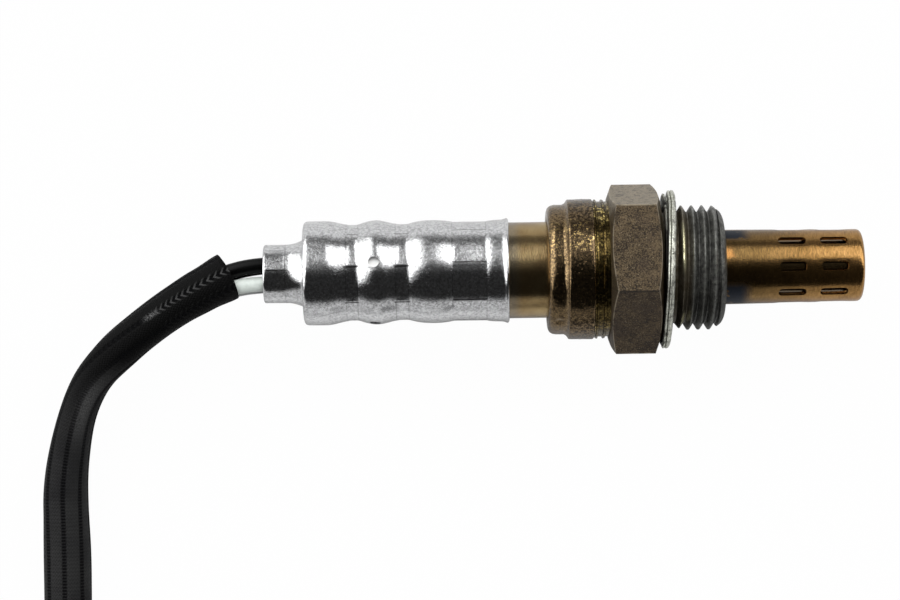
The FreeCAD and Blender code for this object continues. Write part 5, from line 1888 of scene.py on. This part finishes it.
        for index in range(self.turned_in, 0, -1):
            ring(index, self.wall, -lengths[index])
        ring(0, self.wall, 0.0)
        ring(0, self.wall * 0.5, 0.0)
        for index in range(len(line)):
            ring(index, 0.0, lengths[index])
        ring(len(line) - 1, self.wall * 0.5, whole)
        for index in range(len(line) - 1, len(line) - 1 - self.turned_in, -1):
            ring(index, self.wall, 2 * whole - lengths[index])
        for first, second, u0, u1 in zip(rings, rings[1:], marks, marks[1:]):
            for k in range(self.sleeve_sides):
                after = (k + 1) % self.sleeve_sides
                face = mesh.faces.new((first[k], first[after], second[after], second[k]))
                face.smooth = True
                v0, v1 = k / self.sleeve_sides, (k + 1) / self.sleeve_sides
                for loop, mark in zip(face.loops, ((u0, v0), (u0, v1), (u1, v1), (u1, v0))):
                    loop[layer].uv = mark
        for end, way in ((rings[0], -1), (rings[-1], 1)):
            middle = mesh.verts.new(sum((v.co for v in end), Vector()) / len(end))
            for k in range(self.sleeve_sides):
                pair = (end[k], end[(k + 1) % self.sleeve_sides])
                mesh.faces.new((*pair, middle) if way > 0 else (*reversed(pair), middle))
        obj = add_mesh("lead_sleeve", mesh)
        dress(obj, Looks.SLEEVE)
        obj.visible_glossy = False
        return obj

    def wire_mesh(self, line: Sequence[Vector], sides: int = 32) -> bpy.types.Object:
        """Run a wire along a line.

        Args:
            line: The points of its middle, in millimetres.
            sides: Its number of sides.

        Returns:
            The wire, closed at both ends.
        """
        mesh = bmesh.new()
        rings = []
        turns = [2 * math.pi * k / sides for k in range(sides)]
        for place, (_, side, up) in zip(line, self.frames(line)):
            rings.append([mesh.verts.new((place + (side * math.cos(turn) + up * math.sin(turn)) * self.wire_r) * MM)
                          for turn in turns])
        for first, second in zip(rings, rings[1:]):
            for k in range(sides):
                face = mesh.faces.new((first[k], first[(k + 1) % sides], second[(k + 1) % sides], second[k]))
                face.smooth = True
        mesh.faces.new(reversed(rings[0]))
        mesh.faces.new(rings[-1])
        return add_mesh("wire", mesh)

    def wires(self, line: Sequence[Vector]) -> list[bpy.types.Object]:
        """Run the four leads, each from its terminal into the sleeve and from there to the connector.

        Args:
            line: The points of the sleeve's middle, in millimetres.

        Returns:
            The leads, dressed.
        """
        frames = self.frames(line)
        leads = {"black_front": (1, 1, Looks.WIRE_BLACK), "white": (-1, 1, Looks.WIRE_WHITE),
                 "black_rear": (1, -1, Looks.WIRE_BLACK), "grey": (-1, -1, Looks.WIRE_GREY)}
        made = []
        step = (line[1] - line[0]).length
        hidden = len(line) - 1 - round(self.end_inside / step)
        offset, apart = self.wire_offset, self.end_apart
        for name, (across, upward, look) in leads.items():
            drop = self.rear_drop if upward < 0 else 0.0
            points = [Vector((x, across * offset, upward * offset)) for x in self.grommet_x]
            points.append(Vector((self.bow_x, across * offset - drop, upward * offset)))
            for depth, low, spread in self.entry:
                index = round(depth / step)
                _, side, up = frames[index]
                lean = -low + across * spread + upward * self.entry_turn
                points.append(line[index] - side * lean + up * upward * self.entry_rise)
            front = self.wire_mesh(self.line(points, self.line_step))
            _, side, up = frames[hidden]
            points = [line[hidden] - side * across * apart + up * upward * apart]
            for x, reach in self.ends:
                points.append(Vector((x, self.connector_y + across * reach, self.connector_z + upward * reach)))
            rear = self.wire_mesh(self.line(points, self.line_step))
            obj = joined("lead_" + name, [front, rear])
            dress(obj, look)
            made.append(seat(obj, "wire_black" if "black" in name else "wire_" + name, "wire_" + name))
        return made

    def build(self) -> None:
        line = self.line(self.route(), self.line_step)
        sleeve = seat(self.sleeve(line), "knit_sleeve", "harness_sleeve", "harness_coil", "harness_tail")
        wires = self.wires(line)
        names = ("cable_tie", "connector_housing", "connector_pins", "connector_lock", "connector_wire_seal",
                 "connector_rear_cap")
        parts = wires + [frame["nodes"][name] for name in names]
        LOG.info("the sleeve is %.1f mm long", self.lengths_of(line)[-1])
        [point * MM for point in line]


# ---------------------------------------------------------------- carried-over pieces


@dataclass(frozen=True)
class CarriedOver:
    """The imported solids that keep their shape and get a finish."""

    looks: tuple[tuple[str, Looks], ...] = (
        ("inner_protection_tube", Looks.INNER_TUBE), ("sensing_thimble", Looks.ELEMENT),
        ("heater_rod", Looks.CERAMIC), ("lower_insulator", Looks.CERAMIC), ("talc_seal", Looks.TALC),
        ("upper_insulator", Looks.CERAMIC), ("seal_ring", Looks.PLATED), ("grommet", Looks.GROMMET),
        ("vent_membrane", Looks.FILM), ("disc_spring", Looks.PLATED), ("contact_holder", Looks.CERAMIC),
        ("contact_terminals", Looks.PLATED), ("cable_tie", Looks.TIE), ("connector_housing", Looks.CONNECTOR),
        ("connector_pins", Looks.PLATED), ("connector_lock", Looks.LOCK), ("connector_wire_seal", Looks.SEAL),
        ("connector_rear_cap", Looks.CONNECTOR),
    )

    def build(self) -> None:
        """Dress each of them."""
        for node, look in self.looks:
            dress(frame["nodes"][node], look)
            LOG.info("%s keeps its solid", node)


# ---------------------------------------------------------------- floor, light and camera


@dataclass(frozen=True)
class Studio:
    """Pale floor, soft studio light and the camera straight above."""

    floor_z: float = -12.30
    camera_at: tuple[float, float, float] = (-30.52, -4.15, 390.0)
    camera_roll_deg: float = -0.886
    lens: float = 108.0
    sensor_width: float = 36.0
    floor_size: float = 6.0
    aim: tuple[float, float, float] = (-0.02, -0.01, 0.0)
    paper: float = 186
    seen_white: float = 0.98
    mirrored_white: float = 0.04
    gloom: float = 0.024
    below: float = 0.54
    above: float = 0.21
    centre: float = 0.15
    left_box: float = 2.6
    right_box: float = 2.4

    def floor(self) -> None:
        """Lay a floor that shows white to the camera and still takes a shadow."""
        deselect()
        bpy.ops.mesh.primitive_plane_add(size=self.floor_size, location=(0, 0, self.floor_z * MM))
        obj = bpy.context.active_object
        obj.name = "studio_floor"
        material = bpy.data.materials.new("studio_floor")
        material.use_nodes = True
        tree = Tree(material.node_tree)
        paper = tree.add("ShaderNodeBsdfDiffuse", {}, {"Color": linear(self.paper, self.paper, self.paper)})
        white = tree.add("ShaderNodeEmission", {}, {"Color": (1.0, 1.0, 1.0, 1.0), "Strength": 1.0})
        seen = tree.add("ShaderNodeLightPath", {}, {}, "Is Camera Ray")
        glossy = tree.add("ShaderNodeLightPath", {}, {}, "Is Glossy Ray")
        through = tree.add("ShaderNodeLightPath", {}, {}, "Is Transmission Ray")
        share = seen * self.seen_white + glossy * self.mirrored_white + through * self.seen_white
        surface = tree.add("ShaderNodeMixShader", {}, {0: share, 1: paper, 2: white})
        tree.add("ShaderNodeOutputMaterial", {}, {"Surface": surface})
        obj.data.materials.append(material)

    def world(self) -> None:
        """Surround the object: white to the camera, soft boxes and dark flags to shiny surfaces."""
        world = bpy.data.worlds.new("studio")
        bpy.context.scene.world = world
        world.use_nodes = True
        tree = Tree(world.node_tree)
        vector = tree.add("ShaderNodeTexCoord", {}, {}, "Generated")
        x, y, z = tree.split(vector)
        way = tree.way(y, z)
        level = self.gloom + way.rise(-66, -76) * self.below + way.rise(78, 92) * self.above
        centre = way.rise(-6, 24) * self.centre
        left = x.rise(-0.15, -0.26) * (way - x * 110).rise(40, 54) * way.rise(88, 74)
        right = x.rise(0.05, 0.12) * (way + x * 30).rise(24, 34) * way.rise(68, 57)
        studio = level + centre + left * self.left_box + right * self.right_box
        camera = tree.add("ShaderNodeLightPath", {}, {}, "Is Camera Ray")
        through = tree.add("ShaderNodeLightPath", {}, {}, "Is Transmission Ray")
        strength = tree.between(camera.most(through), studio, 1.0)
        background = tree.add("ShaderNodeBackground", {}, {"Color": (1.0, 1.0, 1.0, 1.0), "Strength": strength})
        tree.add("ShaderNodeOutputWorld", {}, {"Surface": background})

    def lamp(self, name: str, place: Vector, power: float, size: float) -> None:
        """Add one soft box that points at the sensor's middle and shows in no mirror.

        Args:
            name: Its name.
            place: Where it hangs, in metres.
            power: Its power in watts.
            size: Its width in metres.
        """
        light = bpy.data.lights.new(name, "AREA")
        light.shape = "SQUARE"
        light.size = size
        light.energy = power
        obj = bpy.data.objects.new(name, light)
        bpy.context.scene.collection.objects.link(obj)
        obj.location = place
        obj.rotation_euler = (Vector(self.aim) - place).to_track_quat("-Z", "Y").to_euler()
        obj.visible_glossy = False

    def camera(self) -> None:
        """Set the camera that has the photograph's view."""
        data = bpy.data.cameras.new("camera")
        data.lens = self.lens
        data.sensor_width = self.sensor_width
        data.clip_start = 0.01
        obj = bpy.data.objects.new("camera", data)
        obj.location = Vector(self.camera_at) * MM
        obj.rotation_euler = (0.0, 0.0, math.radians(self.camera_roll_deg))
        bpy.context.scene.collection.objects.link(obj)
        bpy.context.scene.camera = obj

    def build(self) -> None:
        """Set up the whole stage."""
        bpy.context.scene.view_settings.view_transform = "Standard"
        self.floor()
        self.world()
        self.lamp("key_light", Vector((-0.1, 0.44, 0.5)), 3.1, 0.5)
        self.lamp("fill_light", Vector((0.25, -0.45, 0.5)), 1.8, 0.5)
        self.camera()


def main() -> None:
    """Build every sub-assembly in order."""
    logging.basicConfig(level=logging.INFO, format="%(message)s")
    Studio().build()
    Harness().build()
    Housing().build()
    Gasket().build()
    TipTube().build()
    InnerSleeve().build()
    RearShell().build()
    CarriedOver().build()


if __name__ == "__main__":
    main()
